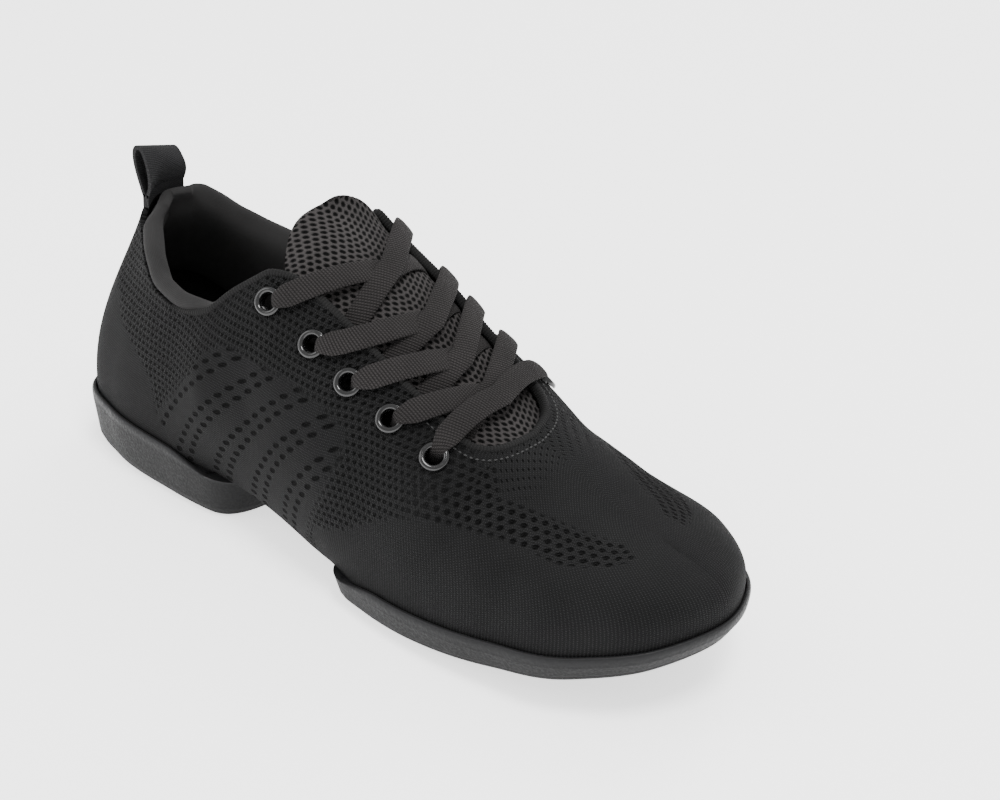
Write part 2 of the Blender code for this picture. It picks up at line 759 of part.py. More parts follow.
def makeLoop(finishOf, collection):
    """A folded strap that stands on the upper's edge at the heel, its sections bent to the collar's round."""
    base = collarPoint(0.0, -1)
    low = loopTail
    angles = np.linspace(0, 2 * math.pi, 17)[:-1] - math.pi / 2
    reach = (loopHeight - low - strapThickness) / 2
    centre = low + reach
    inner, outer = [], []
    for angle in angles:
        narrow = 0.5 - 0.5 * math.sin(angle)
        width = loopOpening / 2 * (1 - 0.55 * narrow**2)
        point = np.array([width * math.cos(angle), centre + reach * math.sin(angle)])
        away = np.array([math.cos(angle) * reach, math.sin(angle) * width])
        away = away / np.linalg.norm(away)
        inner.append(point)
        outer.append(point + away * strapThickness)
    half = strapThickness
    seam = [np.array(corner) for corner in ((-half, 0.0), (half, 0.0), (half, low))]
    outer = seam + outer[1:] + [np.array([-half, low])]
    inner = [inner[0], inner[0], inner[0]] + inner[1:] + [inner[0]]
    around = len(outer)
    rows = []
    for y in np.linspace(-loopWidth / 2, loopWidth / 2, 5):
        side = -1 if y < 0 else 1
        fine = np.linspace(0, 0.12, 60)
        across = [collarPoint(at, side)[1] * side for at in fine]
        at = float(np.interp(abs(y), across, fine))
        edge = collarPoint(at, side)
        for ring in (outer, inner):
            row = []
            for forward, up in ring:
                hug = 1 - blend(0.3 * loopHeight, loopHeight, up)
                x = base[0] + (edge[0] - base[0]) * hug + strapThickness + forward
                z = base[2] + (edge[2] - base[2]) * hug + clearance + 0.1 * mm + up
                z -= (y + loopWidth / 2) * math.tan(math.radians(loopTilt)) * (1 - hug)
                row.append((x, y, z))
            rows.append(row)
    points = np.array(rows).reshape(-1, 3)
    faces = []
    for station in range(4):
        for ring, flip in ((0, False), (1, True)):
            start, after = (station * 2 + ring) * around, (station * 2 + 2 + ring) * around
            for step in range(around):
                ahead = (step + 1) % around
                face = (start + step, start + ahead, after + ahead, after + step)
                faces.append(face[::-1] if flip else face)
    for station in (0, 4):
        start = station * 2 * around
        for step in range(around):
            ahead = (step + 1) % around
            faces.append((start + step, start + ahead, start + around + ahead, start + around + step))
    return meshObject("pull_loop", points, faces, finishOf, collection)


# Eyelets and laces


def eyeletPlace(row, side):
    """An eyelet's share along the shoe, its place across the closed instep, its centre and its direction."""
    name = sideNames[side]
    at = eyeletTable[name][row]
    v = depthShare(at, side, eyeletTable[name + "Inset"][row] * eyeletInset)
    across = side * (1 - closedShare(at, side, v))
    return at, across, instepPoint(at, across), instepNormal(at, across)


def edgeInset(row, side):
    """How far an eyelet stands from the throat's edge."""
    return eyeletTable[sideNames[side] + "Inset"][row] * eyeletInset


def turned(name, profile):
    """A profile in the XZ plane, ready to be turned about Z."""
    mesh = bpy.data.meshes.new(name)
    count = len(profile)
    mesh.from_pydata([(r, 0.0, z) for r, z in profile], [(i, (i + 1) % count) for i in range(count)], [])
    return mesh


def makeEyelets(finishOf, collection, cutters):
    top = laceLift + eyeletHeight
    profile = (
        (eyeletHole, laceLift + eyeletHeight * 0.3),
        (eyeletHole + (eyeletRadius - eyeletHole) * 0.35, top),
        (eyeletHole + (eyeletRadius - eyeletHole) * 0.72, top - eyeletHeight * 0.08),
        (eyeletRadius, laceLift),
        (eyeletBarrel, laceLift),
        (eyeletBarrel, -wall - eyeletTail),
        (eyeletHole + 0.15 * mm, -wall - eyeletTail),
    )
    ring = turned("eyelet", profile)
    ring.materials.append(finishOf)
    for side, name in sideNames.items():
        for row in range(len(eyeletTable[name])):
            place, normal = eyeletPlace(row, side)[2:]
            turn = Vector(normal).to_track_quat("Z", "Y").to_euler()
            eyelet = bpy.data.objects.new(f"eyelet_{name}_{row + 1}", ring)
            eyelet.location = place
            eyelet.rotation_euler = turn
            collection.objects.link(eyelet)
            screw = eyelet.modifiers.new("Turned", "SCREW")
            screw.axis = "Z"
            screw.steps = 12
            screw.render_steps = 12
            screw.use_merge_vertices = True
            screw.merge_threshold = 0.00005
            screw.use_smooth_shade = True
            bpy.ops.mesh.primitive_cylinder_add(vertices=12, radius=eyeletBarrel + clearance, depth=wall * 5)
            cutter = bpy.context.active_object
            cutter.name = f"eyelet_cutter_{name}_{row + 1}"
            cutter.location = place
            cutter.rotation_euler = turn
            moveTo(cutter, cutters)


def laceStrip(name, start, end, sunk, middle, finishOf, collection):
    """A flat lace over the instep from one eyelet to another, each given by its row and side.

    It starts clear of the throat's edge, under it where sunk, and ends over it, clear of the far eyelet.
    """
    over = laceLift + laceThickness / 2
    under = -wall - tongueGap + clearance * 2 + laceThickness / 2
    first, last = (np.array(eyeletPlace(*eyelet)[:2]) for eyelet in (start, end))
    ts = np.linspace(0, 1, 61)
    path = np.array([instepPoint(*(first * (1 - t) + last * t)) for t in ts])
    lengths = np.concatenate([[0.0], np.cumsum(np.linalg.norm(np.diff(path, axis=0), axis=1))])
    ring = eyeletRadius + clearance * 2
    begin = edgeInset(*start) + laceWidth * 0.95 if sunk else ring
    stop = lengths[-1] - ring
    edge = lengths[-1] - edgeInset(*end) - laceWidth * 1.1
    centre = lengths[-1] * 0.5
    runs = ((begin, centre, 5), (centre, edge, 4), (edge, stop, 4))
    stations = np.unique(np.concatenate([np.linspace(*run) for run in runs]))
    levels = np.interp(stations, (begin, centre, edge), (under if sunk else over, middle, over))
    rings = []
    for length, level in zip(stations, levels):
        t = float(np.interp(length, lengths, ts))
        near = first * (1 - t) + last * t
        step = (last - first) * 0.01
        tangent = instepPoint(*(near + step)) - instepPoint(*(near - step))
        normal = instepNormal(*near)
        across = np.cross(normal, tangent)
        across = across / np.linalg.norm(across) * laceWidth / 2
        place = instepPoint(*near) + normal * level
        thick = normal * laceThickness / 2
        corners = (-across - thick, across - thick, across + thick, thick - across)
        rings.append(np.array([place + corner for corner in corners]))
    return solidLoft(name, rings, finishOf, collection)


def makeLaces(finishOf, collection, helpers):
    """The bar over the toe end of the throat, and above it four crossings of two laces each."""
    over = laceLift + laceThickness / 2
    last = len(eyeletTable["lateral"]) - 1
    laceStrip("lace_bar", (last, -1), (last, 1), False, over, finishOf, collection)
    low = -wall - tongueGap + clearance * 2 + laceThickness / 2
    high = low + laceThickness * 0.85
    for row in range(last):
        first, second = (high, low) if row % 2 == 0 else (low, high)
        name = f"lace_cross_{row + 1}"
        cross = laceStrip(name, (row + 1, 1), (row, -1), True, first, finishOf, collection)
        other = laceStrip(name + "_helper", (row + 1, -1), (row, 1), True, second, finishOf, helpers)
        hideHelper(other)
        join = cross.modifiers.new("Crossing", "BOOLEAN")
        join.operation = "UNION"
        join.object = other
        join.solver = "EXACT"


def moveTo(piece, collection):
    for old in list(piece.users_collection):
        old.objects.unlink(piece)
    collection.objects.link(piece)
    hideHelper(piece)


def hideHelper(piece):
    piece.hide_render = True
    piece.display_type = "WIRE"


def footprintMiddle(pieces):
    """The middle of the shoe's box, seen from above."""
    graph = bpy.context.evaluated_depsgraph_get()
    corners = []
    for piece in pieces:
        solid = piece.evaluated_get(graph)
        corners += [solid.matrix_world @ Vector(corner) for corner in solid.bound_box]
    corners = np.array(corners)
    return (corners.min(axis=0) + corners.max(axis=0))[:2] / 2


def main():
    clearScene()
    shoe = newCollection("dance_sneaker")
    cutters = newCollection("eyelet_cutters")
    helpers = newCollection("lace_helpers")
    rubber = finish("sole_rubber", (0.022, 0.022, 0.023), 0.62)
    knit = finish("black_knit", (0.012, 0.012, 0.013), 0.85)
    jersey = finish("lining_jersey", (0.016, 0.016, 0.017), 0.9)
    mesh = finish("tongue_mesh", (0.022, 0.021, 0.021), 0.9)
    foam = finish("insole_foam", (0.014, 0.014, 0.015), 0.9)
    webbing = finish("loop_webbing", (0.020, 0.020, 0.022), 0.8)
    metal = finish("eyelet_metal", (0.030, 0.030, 0.032), 0.22, 0.9)
    weave = finish("lace_weave", (0.024, 0.022, 0.022), 0.85)
    soleUnit("heel_sole", 0.0, heelUnitEnd, 20, 0.0, 0.06, rubber, shoe)
    soleUnit("forefoot_sole", forefootUnitStart, 1.0, 28, 0.055, 0.0, rubber, shoe)
    makeUpper(knit, shoe, cutters)
    makeInsole(foam, shoe)
    makeLining(jersey, shoe)
    makeTongue(mesh, shoe)
    makeLoop(webbing, shoe)
    makeEyelets(metal, shoe, cutters)
    makeLaces(weave, shoe, helpers)
    bpy.context.view_layer.update()
    middle = footprintMiddle(shoe.objects)
    for group in (shoe, cutters, helpers):
        for piece in group.objects:
            piece.location.x -= middle[0]
            piece.location.y -= middle[1]
    bpy.context.view_layer.update()
    return middle


middle = main()
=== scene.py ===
import functools
import math

import bmesh
import bpy
import numpy as np
from mathutils import Matrix, Vector


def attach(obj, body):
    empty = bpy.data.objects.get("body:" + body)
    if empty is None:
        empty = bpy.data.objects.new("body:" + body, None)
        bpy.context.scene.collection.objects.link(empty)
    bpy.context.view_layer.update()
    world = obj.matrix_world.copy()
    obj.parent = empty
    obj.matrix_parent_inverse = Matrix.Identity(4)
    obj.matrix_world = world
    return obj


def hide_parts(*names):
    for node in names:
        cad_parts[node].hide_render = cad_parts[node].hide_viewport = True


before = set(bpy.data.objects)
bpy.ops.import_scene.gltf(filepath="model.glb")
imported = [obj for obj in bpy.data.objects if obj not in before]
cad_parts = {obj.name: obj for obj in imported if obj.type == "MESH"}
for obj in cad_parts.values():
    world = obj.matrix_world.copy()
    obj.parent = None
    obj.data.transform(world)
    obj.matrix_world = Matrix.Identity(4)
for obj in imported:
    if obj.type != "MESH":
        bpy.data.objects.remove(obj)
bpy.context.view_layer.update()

# A split-sole dance sneaker for the right foot, dressed over its CAD frame.
# It is drawn from the heel's back at X 0, and place moves each piece to the frame.
mm = 0.001

# The CAD's own sizes
soleLength = 261.7 * mm
heelWidth = 63.0 * mm
waistWidth = 58.4 * mm
ballWidth = 91.3 * mm
collarWidth = 59.0 * mm
throatTopWidth = 48.0 * mm
throatEndWidth = 35.0 * mm
heelRise = 21.2 * mm
heelFrontRise = 19.4 * mm
archRise = 15.8 * mm
ballRise = 12.2 * mm
toeThickness = 8.7 * mm
toeSpring = 19.1 * mm
collarHeight = 92.0 * mm
ankleHeight = 73.3 * mm
instepHeight = 110.0 * mm
toeBoxHeight = 41.0 * mm
clearance = 0.3 * mm
wall = 2.0 * mm
lastingMargin = 11.0 * mm
archTuck = 2.5 * mm
archLean = 18.0
lipWidth = 1.5 * mm
lipDepth = 3.0 * mm
lipGap = 0.7 * mm
soleInset = 2.2 * mm
soleEdge = 3.0 * mm
liningGap = 0.8 * mm
liningDepth = 34.0 * mm
liningPadding = 5.5 * mm
rollHeight = 5.4 * mm
tongueGap = 1.4 * mm
tonguePadding = 5.0 * mm
tongueEdge = 1.8 * mm
tongueFlare = 5.0 * mm
tongueTopWidth = 56.0 * mm
tongueEndWidth = 42.0 * mm
tongueRise = 2.5 * mm
tongueSkew = 1.5 * mm
tongueTail = 15.0 * mm
loopWidth = 16.5 * mm
loopNotch = 2.4 * mm
loopTilt = 13.0
loopHeight = 19.0 * mm
loopTail = 4.6 * mm
loopOpening = 5.4 * mm
strapThickness = 1.4 * mm
eyeletRadius = 4.8 * mm
eyeletHole = 2.6 * mm
eyeletBarrel = 3.3 * mm
eyeletHeight = 1.2 * mm
eyeletTail = 0.6 * mm
eyeletInset = 12.5 * mm
heelUnitEnd = 0.358
forefootUnitStart = 0.517
collarFront = 0.395
liningFront = 0.37
throatRound = 0.655
throatEnd = 0.70
springStart = 0.60
springPower = 1.6

sideNames = {-1: "lateral", 1: "medial"}


def table(names, *rows):
    return dict(zip(names.split(), np.array(rows, float).T))


outlineTable = table(
    "at lateralX lateralY medialX medialY width",
    (0.00, 0.000, 0.000, 0.000, 0.000, heelWidth),
    (0.06, 0.021, 0.317, 0.035, 0.287, heelWidth),
    (0.14, 0.102, 0.483, 0.113, 0.462, heelWidth),
    (0.25, 0.228, 0.540, 0.236, 0.460, heelWidth),
    (0.39, 0.384, 0.571, 0.389, 0.429, waistWidth),
    (0.54, 0.538, 0.430, 0.541, 0.356, ballWidth),
    (0.67, 0.674, 0.478, 0.675, 0.476, ballWidth),
    (0.79, 0.791, 0.462, 0.807, 0.522, ballWidth),
    (0.89, 0.896, 0.391, 0.911, 0.478, ballWidth),
    (0.95, 0.967, 0.219, 0.976, 0.284, ballWidth),
    (1.00, 1.000, -0.037, 1.000, 0.037, ballWidth),
)

collarTable = table(
    "at x lateralY medialY lateralZ medialZ height",
    (0.000, 0.076, 0.000, 0.000, 1.000, 1.000, collarHeight),
    (0.060, 0.091, 0.165, 0.186, 0.965, 1.000, collarHeight),
    (0.110, 0.126, 0.305, 0.339, 0.908, 0.942, collarHeight),
    (0.160, 0.161, 0.415, 0.407, 1.070, 1.119, ankleHeight),
    (0.210, 0.203, 0.500, 0.449, 1.016, 1.082, ankleHeight),
    (0.260, 0.252, 0.539, 0.475, 1.000, 1.057, ankleHeight),
    (0.310, 0.298, 0.535, 0.466, 1.045, 1.085, ankleHeight),
    (0.350, 0.332, 0.470, 0.430, 1.164, 1.173, ankleHeight),
)

ridgeTable = table(
    "at x y z height",
    (0.395, 0.375, 0.021, 1.005, instepHeight),
    (0.470, 0.450, 0.021, 0.900, instepHeight),
    (0.530, 0.520, 0.018, 0.805, instepHeight),
    (0.600, 0.594, 0.016, 0.692, instepHeight),
    (0.655, 0.652, 0.018, 0.605, instepHeight),
    (0.700, 0.704, 0.021, 0.538, instepHeight),
    (0.760, 0.752, 0.024, 1.330, toeBoxHeight),
    (0.850, 0.822, 0.027, 1.135, toeBoxHeight),
    (1.000, 0.905, 0.028, 1.000, toeBoxHeight),
)

throatTable = table(
    "at lateral medial width",
    (0.395, 0.575, 0.470, throatTopWidth),
    (0.430, 0.517, 0.500, throatTopWidth),
    (0.470, 0.494, 0.510, throatTopWidth),
    (0.560, 0.462, 0.475, throatTopWidth),
    (0.655, 0.590, 0.585, throatEndWidth),
    (0.700, 0.590, 0.520, throatEndWidth),
)

wallTable = table(
    "at lateralLean medialLean hold rise lateralTop medialTop",
    (0.00, 4.0, 4.0, 0.42, 70.0, 0.28, 0.28),
    (0.11, 5.0, 5.0, 0.40, 75.0, 0.28, 0.28),
    (0.26, 5.0, -4.0, 0.38, 84.0, 0.30, 0.32),
    (0.35, 6.0, -12.0, 0.41, 76.0, 0.31, 0.40),
    (0.395, 7.0, -15.0, 0.43, 0.0, 0.31, 0.47),
    (0.47, 7.0, -14.0, 0.44, 0.0, 0.34, 0.52),
    (0.55, 7.0, -6.0, 0.43, 0.0, 0.39, 0.58),
    (0.60, 6.0, -2.0, 0.43, 0.0, 0.42, 0.62),
    (0.655, 5.0, 1.0, 0.43, 0.0, 0.45, 0.68),
    (0.70, 4.0, 3.0, 0.44, 0.0, 0.45, 0.62),
    (0.76, 4.0, 4.0, 0.45, 0.0, 0.45, 0.50),
    (0.85, 6.0, 6.0, 0.48, 0.0, 0.46, 0.42),
    (1.00, 8.0, 8.0, 0.55, 0.0, 0.52, 0.50),
)

eyeletTable = table(
    "lateral medial lateralInset medialInset",
    (0.410, 0.410, 0.76, 0.90),
    (0.487, 0.487, 1.02, 1.00),
    (0.539, 0.539, 1.04, 1.00),
    (0.598, 0.598, 0.91, 0.92),
    (0.655, 0.655, 0.82, 0.84),
)


def hermite(xs, ys, tangents, at):
    index = np.clip(np.searchsorted(xs, at, side="right") - 1, 0, len(xs) - 2)
    step = xs[index + 1] - xs[index]
    t = (at - xs[index]) / step
    start = ys[index] * (2 * t**3 - 3 * t**2 + 1) + tangents[index] * step * (t**3 - 2 * t**2 + t)
    return start + ys[index + 1] * (3 * t**2 - 2 * t**3) + tangents[index + 1] * step * (t**3 - t**2)


def through(xs, ys, at):
    # a curve through points that stays between them
    steps = np.diff(xs)
    slopes = np.diff(ys) / steps
    before, after = slopes[:-1], slopes[1:]
    weightA = 2 * steps[1:] + steps[:-1]
    weightB = steps[1:] + 2 * steps[:-1]
    same = before * after > 0
    shares = weightA / np.where(same, before, 1.0) + weightB / np.where(same, after, 1.0)
    inner = np.where(same, (weightA + weightB) / shares, 0.0)
    tangents = np.concatenate([slopes[:1], inner, slopes[-1:]])
    return hermite(xs, ys, tangents, np.clip(at, xs[0], xs[-1]))


def rounded(xs, ys, at):
    return hermite(xs, ys, np.gradient(ys, xs), at)


def blend(start, end, at):
    t = np.clip((at - start) / (end - start), 0.0, 1.0)
    return t * t * (3 - 2 * t)


def unit(vectors):
    return vectors / np.linalg.norm(vectors, axis=-1, keepdims=True)


def sideOf(at, side):
    # past the heel or the toe the outline goes on along the other side
    if at < 0:
        return -at, -side
    if at > 1:
        return 2 - at, -side
    return at, side


def outline(at, side):
    rows = outlineTable
    name, other = sideNames[side], sideNames[-side]
    shares = rows["at"]
    where = np.concatenate([-shares[2:0:-1], shares, 2 - shares[-2:-4:-1]])

    def around(column, sign, scale):
        own = sign * rows[name + column] * scale
        far = rows[other + column] * scale * (sign if column == "X" else -sign)
        return np.concatenate([far[2:0:-1], own, far[-2:-4:-1]])

    x = rounded(where, around("X", 1, soleLength), at)
    y = rounded(where, around("Y", side, rows["width"]), at)
    return np.array([x, y])


def inward(at, side):
    step = 0.004
    along = outline(at + step, side) - outline(at - step, side)
    across = np.array([along[1], -along[0]]) * side
    return unit(across)


def underside(x):
    start = springStart * soleLength
    return toeSpring * np.clip((x - start) / (soleLength - start), 0, 1) ** springPower


def rim(x):
    shares = np.array([0.0, heelUnitEnd * 0.8, 0.39, forefootUnitStart + 0.01, 0.62, 1.0])
    heights = np.array([heelRise, heelFrontRise, archRise, ballRise, ballRise, toeThickness])
    return through(shares * soleLength, heights, x) + underside(x)


def seat(x):
    return rim(x) - lipDepth


@functools.lru_cache(maxsize=None)
def archShare(at):
    ahead = 1 - blend(forefootUnitStart, forefootUnitStart + 0.07, at)
    return blend(heelUnitEnd - 0.11, heelUnitEnd + 0.01, at) * ahead


def foot(at, side):
    inset = lipWidth + lipGap + archTuck * archShare(at)
    x, y = outline(at, side) + inward(at, side) * inset
    return np.array([x, y, seat(x) + clearance])


def collarPoint(at, side):
    name, other = sideNames[side], sideNames[-side]
    rows = collarTable
    corner = rib(collarFront, side)[3]
    where = np.concatenate([-rows["at"][2:0:-1], rows["at"], [collarFront]])
    xs = rows["x"] * soleLength
    ys = side * rows[name + "Y"] * collarWidth
    farYs = -side * rows[other + "Y"] * collarWidth
    zs = rows[name + "Z"] * rows["height"]
    farZs = rows[other + "Z"] * rows["height"]
    pairs = ((xs, xs, corner[0]), (ys, farYs, corner[1]), (zs, farZs, corner[2]))
    lines = [np.concatenate([far[2:0:-1], own, [end]]) for own, far, end in pairs]
    return np.array([through(where, line, at) for line in lines])


def ridgePoint(at):
    rows = ridgeTable
    x = through(rows["at"], rows["x"] * soleLength, at)
    y = through(rows["at"], rows["y"] * soleLength, at)
    z = through(rows["at"], rows["z"] * rows["height"], at)
    return np.array([x, y, z])


def ridgeSlope(at):
    step = 0.01
    low, high = max(at - step, collarFront), min(at + step, 1.0)
    a, b = ridgePoint(low), ridgePoint(high)
    return (b[2] - a[2]) / (b[0] - a[0])


def bezier(controls, t):
    a, b, c, d = controls
    s = 1 - t
    return a * s**3 + b * 3 * s * s * t + c * 3 * s * t * t + d * t**3


def trimmed(controls, t):
    a, b, c, d = controls
    ab, bc = a + (b - a) * t, b + (c - b) * t
    cd = c + (d - c) * t
    abc, bcd = ab + (bc - ab) * t, bc + (cd - bc) * t
    return a, ab, abc, abc + (bcd - abc) * t


def wholeRib(at, side, end, slope, rise):
    start = foot(at, side)
    names = (sideNames[side] + "Lean", "hold", sideNames[side] + "Top")
    lean, hold, topHold = (through(wallTable["at"], wallTable[name], at) for name in names)
    lean = math.radians(lean + archLean * archShare(at))
    level = inward(at, side)
    reach = np.linalg.norm(end - start)
    leave = np.array([*(-level * math.sin(lean)), math.cos(lean)])
    arrive = np.array([*(level * math.cos(rise)), math.sin(rise) + slope * level[0] * math.cos(rise)])
    return start, start + leave * hold * reach, end - arrive * topHold * reach, end


@functools.lru_cache(maxsize=None)
def closedRib(at, side):
    return wholeRib(at, side, ridgePoint(at), ridgeSlope(at), 0.0)


@functools.lru_cache(maxsize=None)
def rib(at, side):
    if at >= throatEnd:
        return *closedRib(at, side), 1.0
    if at >= collarFront:
        share = throatShare(at, side)
        return *trimmed(closedRib(at, side), share), share
    rows = wallTable["at"] < collarFront
    rise = math.radians(through(wallTable["at"][rows], wallTable["rise"][rows], at))
    a, b, c, d = wholeRib(at, side, collarPoint(at, side), 0.0, rise)
    mix = blend(collarFront - 0.17, collarFront, at)
    front = rib(collarFront, side)
    first = (b - a) * (1 - mix) + (front[1] - front[0]) * mix
    last = (d - c) * (1 - mix) + (front[3] - front[2]) * mix
    return a, a + first, d - last, d, 1.0


def throatHalf(at, side):
    name = sideNames[side]
    half = through(throatTable["at"], throatTable[name] * throatTable["width"], at)
    t = np.clip((at - throatRound) / (throatEnd - throatRound), 0, 1)
    return half * (1 - t**2.4) ** (1 / 2.4)


def closedShare(at, side, v):
    # where a place on the open wall lies on the whole rib, which closes over the instep
    share = rib(at, side)[4]
    if share >= 1:
        return v
    low = 0.55
    straight = np.where(v < low, v, low + (v - low) * (share - low) / (1 - low))
    mix = blend(collarFront, collarFront + 0.15, at)
    return v * share * (1 - mix) + straight * mix


@functools.lru_cache(maxsize=None)
def throatShare(at, side):
    return shareAt(at, side, throatHalf(at, side))


def shareAt(at, side, half):
    controls = closedRib(at, side)
    shares = np.linspace(1.0, 0.30, 80)
    across = np.array([(bezier(controls, t)[1] - controls[3][1]) * side for t in shares])
    widest = np.argmax(across) + 1
    return float(np.interp(half, across[:widest], shares[:widest]))


def wallLine(at, side, vs):
    # the upper's outer face at one station, for one v or for many at once
    at, side = sideOf(at, side)
    at = round(float(at), 6)
    *controls, share = rib(at, side)
    if share < 1:
        controls, vs = closedRib(at, side), closedShare(at, side, vs)
    return np.array([bezier([point[axis] for point in controls], vs) for axis in range(3)]).T


def instepPoint(at, across):
    side = -1 if across < 0 else 1
    if at >= collarFront:
        return bezier(closedRib(round(float(at), 6), side), 1 - abs(across))
    step = 0.03
    first = bezier(closedRib(collarFront, side), 1 - abs(across))
    second = bezier(closedRib(collarFront + step, side), 1 - abs(across))
    return first + (first - second) * (collarFront - at) / step


def instepNormal(at, across):
    step = 0.004
    along = instepPoint(at + step, across) - instepPoint(at - step, across)
    over = instepPoint(at, across + step) - instepPoint(at, across - step)
    normal = np.cross(along, over)
    return unit(normal)


def wallNormal(at, side, v):
    step = 0.003
    low, high = max(v - step, 0.0), min(v + step, 1.0)
    along = wallLine(at + step, side, v) - wallLine(at - step, side, v)
    up = wallLine(at, side, high) - wallLine(at, side, low)
    across = np.cross(along, up) * -side
    return unit(across)


def depthShare(at, side, depth):
    shares = np.linspace(1.0, 0.0, 60)
    lengths = lengthsOf(wallLine(at, side, shares))
    return float(np.interp(depth, lengths, shares))


def offsetLoop(loop, inset):
    along = np.roll(loop, -1, 0) - np.roll(loop, 1, 0)
    normal = np.stack([along[:, 1], -along[:, 0]], 1)
    normal = unit(normal)
    area = np.sum(loop[:, 0] * np.roll(loop[:, 1], -1) - loop[:, 1] * np.roll(loop[:, 0], -1))
    return loop - normal * np.reshape(inset, (-1, 1)) * np.sign(area)


def unitLoop(start, end, count, backRound, frontRound):
    turn = (1 - np.cos(np.linspace(0, math.pi, count))) / 2
    shares = start + (end - start) * (0.45 * turn + 0.55 * np.linspace(0, 1, count))
    left, right = [], []
    for at in shares:
        lateral, medial = outline(at, -1), outline(at, 1)
        middle = (lateral + medial) / 2
        behind = np.clip((backRound - (at - start)) / backRound, 0, 1) if backRound else 0.0
        ahead = np.clip((frontRound - (end - at)) / frontRound, 0, 1) if frontRound else 0.0
        spread = (1 - max(behind, ahead) ** 3.0) ** (1 / 3.0)
        left.append(middle + (lateral - middle) * spread)
        right.append(middle + (medial - middle) * spread)
    return np.array(left + right[-2:0:-1]), shares


def eyeletPlace(row, side):
    name = sideNames[side]
    at = eyeletTable[name][row]
    v = depthShare(at, side, eyeletTable[name + "Inset"][row] * eyeletInset)
    across = side * (1 - closedShare(at, side, v))
    return at, across, instepPoint(at, across), instepNormal(at, across)


def edgeInset(row, side):
    return eyeletTable[sideNames[side] + "Inset"][row] * eyeletInset


def marginPoint(at, side, share):
    # on the lasting margin, from the wall's foot at 0 to its inner edge at 1
    flat = foot(at, side)[:2]
    inner = flat + inward(at, side) * lastingMargin
    middle = (foot(at, -1)[:2] + foot(at, 1)[:2]) / 2
    ahead = 1 - blend(forefootUnitStart + 0.03, forefootUnitStart + 0.12, at)
    closing = blend(heelUnitEnd - 0.12, heelUnitEnd - 0.03, at) * ahead
    inner = inner * (1 - closing) + middle * closing
    there = flat * (1 - share) + inner * share
    return np.array([there[0], there[1], seat(there[0]) + clearance])


# The frame's origin is in the middle of the footprint, so the drawing moves there by half the CAD's box.
rimLine = np.array([outline(at, side) for side in (-1, 1) for at in np.linspace(0, 1, 400)])
place = np.array([*(-(rimLine.min(axis=0) + rimLine.max(axis=0)) / 2), 0.0])


# Meshes

def smoothWeights(count, places):
    # Catmull-Rom weights that read a row of values at places between them
    weights = np.zeros((len(places), count))
    for row, where in enumerate(places):
        first = min(int(where), count - 2)
        t = where - first
        shares = (-t + 2 * t**2 - t**3, 2 - 5 * t**2 + 3 * t**3, t + 4 * t**2 - 3 * t**3, t**3 - t**2)
        for offset, value in zip((-1, 0, 1, 2), shares):
            weights[row, min(max(first + offset, 0), count - 1)] += value / 2
    return weights


def resample(grid, rows, columns):
    down = smoothWeights(grid.shape[0], np.linspace(0, grid.shape[0] - 1, rows))
    across = smoothWeights(grid.shape[1], np.linspace(0, grid.shape[1] - 1, columns))
    return np.einsum("ra,abk,cb->rck", down, grid, across)


def lengthsAlong(grid, axis):
    steps = np.linalg.norm(np.diff(grid, axis=axis), axis=2)
    start = np.zeros((grid.shape[0], 1)) if axis == 1 else np.zeros((1, grid.shape[1]))
    return np.concatenate([start, np.cumsum(steps, axis=axis)], axis=axis)


def lengthsOf(line):
    return lengthsAlong(line[:, None], 0)[:, 0]


def gridNormals(grid):
    normal = np.cross(np.gradient(grid, axis=1), np.gradient(grid, axis=0))
    return normal / np.maximum(np.linalg.norm(normal, axis=2, keepdims=True), 1e-12)


def addObject(name, data):
    made = bpy.data.objects.new(name, data)
    bpy.context.scene.collection.objects.link(made)
    return made


def gridPiece(name, grid, uvs, masks=None, flip=False, caps=False, ring=False, angle=60.0):
    # a mesh over a grid of points, whose columns or rows may come back to where they began
    rows, columns = grid.shape[:2]
    index = np.arange(rows * columns).reshape(rows, columns)
    faces = np.stack([index[:-1, :-1], index[:-1, 1:], index[1:, 1:], index[1:, :-1]], -1).reshape(-1, 4)
    faces = faces[:, ::-1] if flip else faces
    mesh = bpy.data.meshes.new(name)
    mesh.from_pydata((grid.reshape(-1, 3) + place).tolist(), [], faces.tolist())
    loops = faces.reshape(-1)
    for uvName, uv in uvs.items():
        layer = mesh.uv_layers.new(name=uvName)
        layer.data.foreach_set("uv", uv.reshape(-1, 2)[loops].astype(np.float32).ravel())
    for maskName, mask in (masks or {}).items():
        layer = mesh.attributes.new(maskName, "FLOAT", "POINT")
        layer.data.foreach_set("value", mask.astype(np.float32).ravel())
    work = bmesh.new()
    work.from_mesh(mesh)
    bmesh.ops.remove_doubles(work, verts=work.verts, dist=0.01 * mm)
    bmesh.ops.dissolve_degenerate(work, edges=work.edges, dist=0.005 * mm)
    if caps:
        bmesh.ops.holes_fill(work, edges=[edge for edge in work.edges if edge.is_boundary], sides=0)
    if caps or ring:
        bmesh.ops.recalc_face_normals(work, faces=work.faces)
    work.to_mesh(mesh)
    work.free()
    mesh.shade_smooth()
    mesh.set_sharp_from_angle(angle=math.radians(angle))
    return addObject(name, mesh)


def dress(piece, material, slot, *nodes):
    # the piece rides on the shoe, takes its finish and stands for CAD nodes; the slot is not used
    piece.data.materials.clear()
    piece.data.materials.append(material)
    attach(piece, "root")
    if nodes:
        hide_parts(*nodes)
    print("made", piece.name, len(piece.data.vertices), "points")
    return piece


def pair(first, second):
    return np.stack(np.broadcast_arrays(first, second), -1)


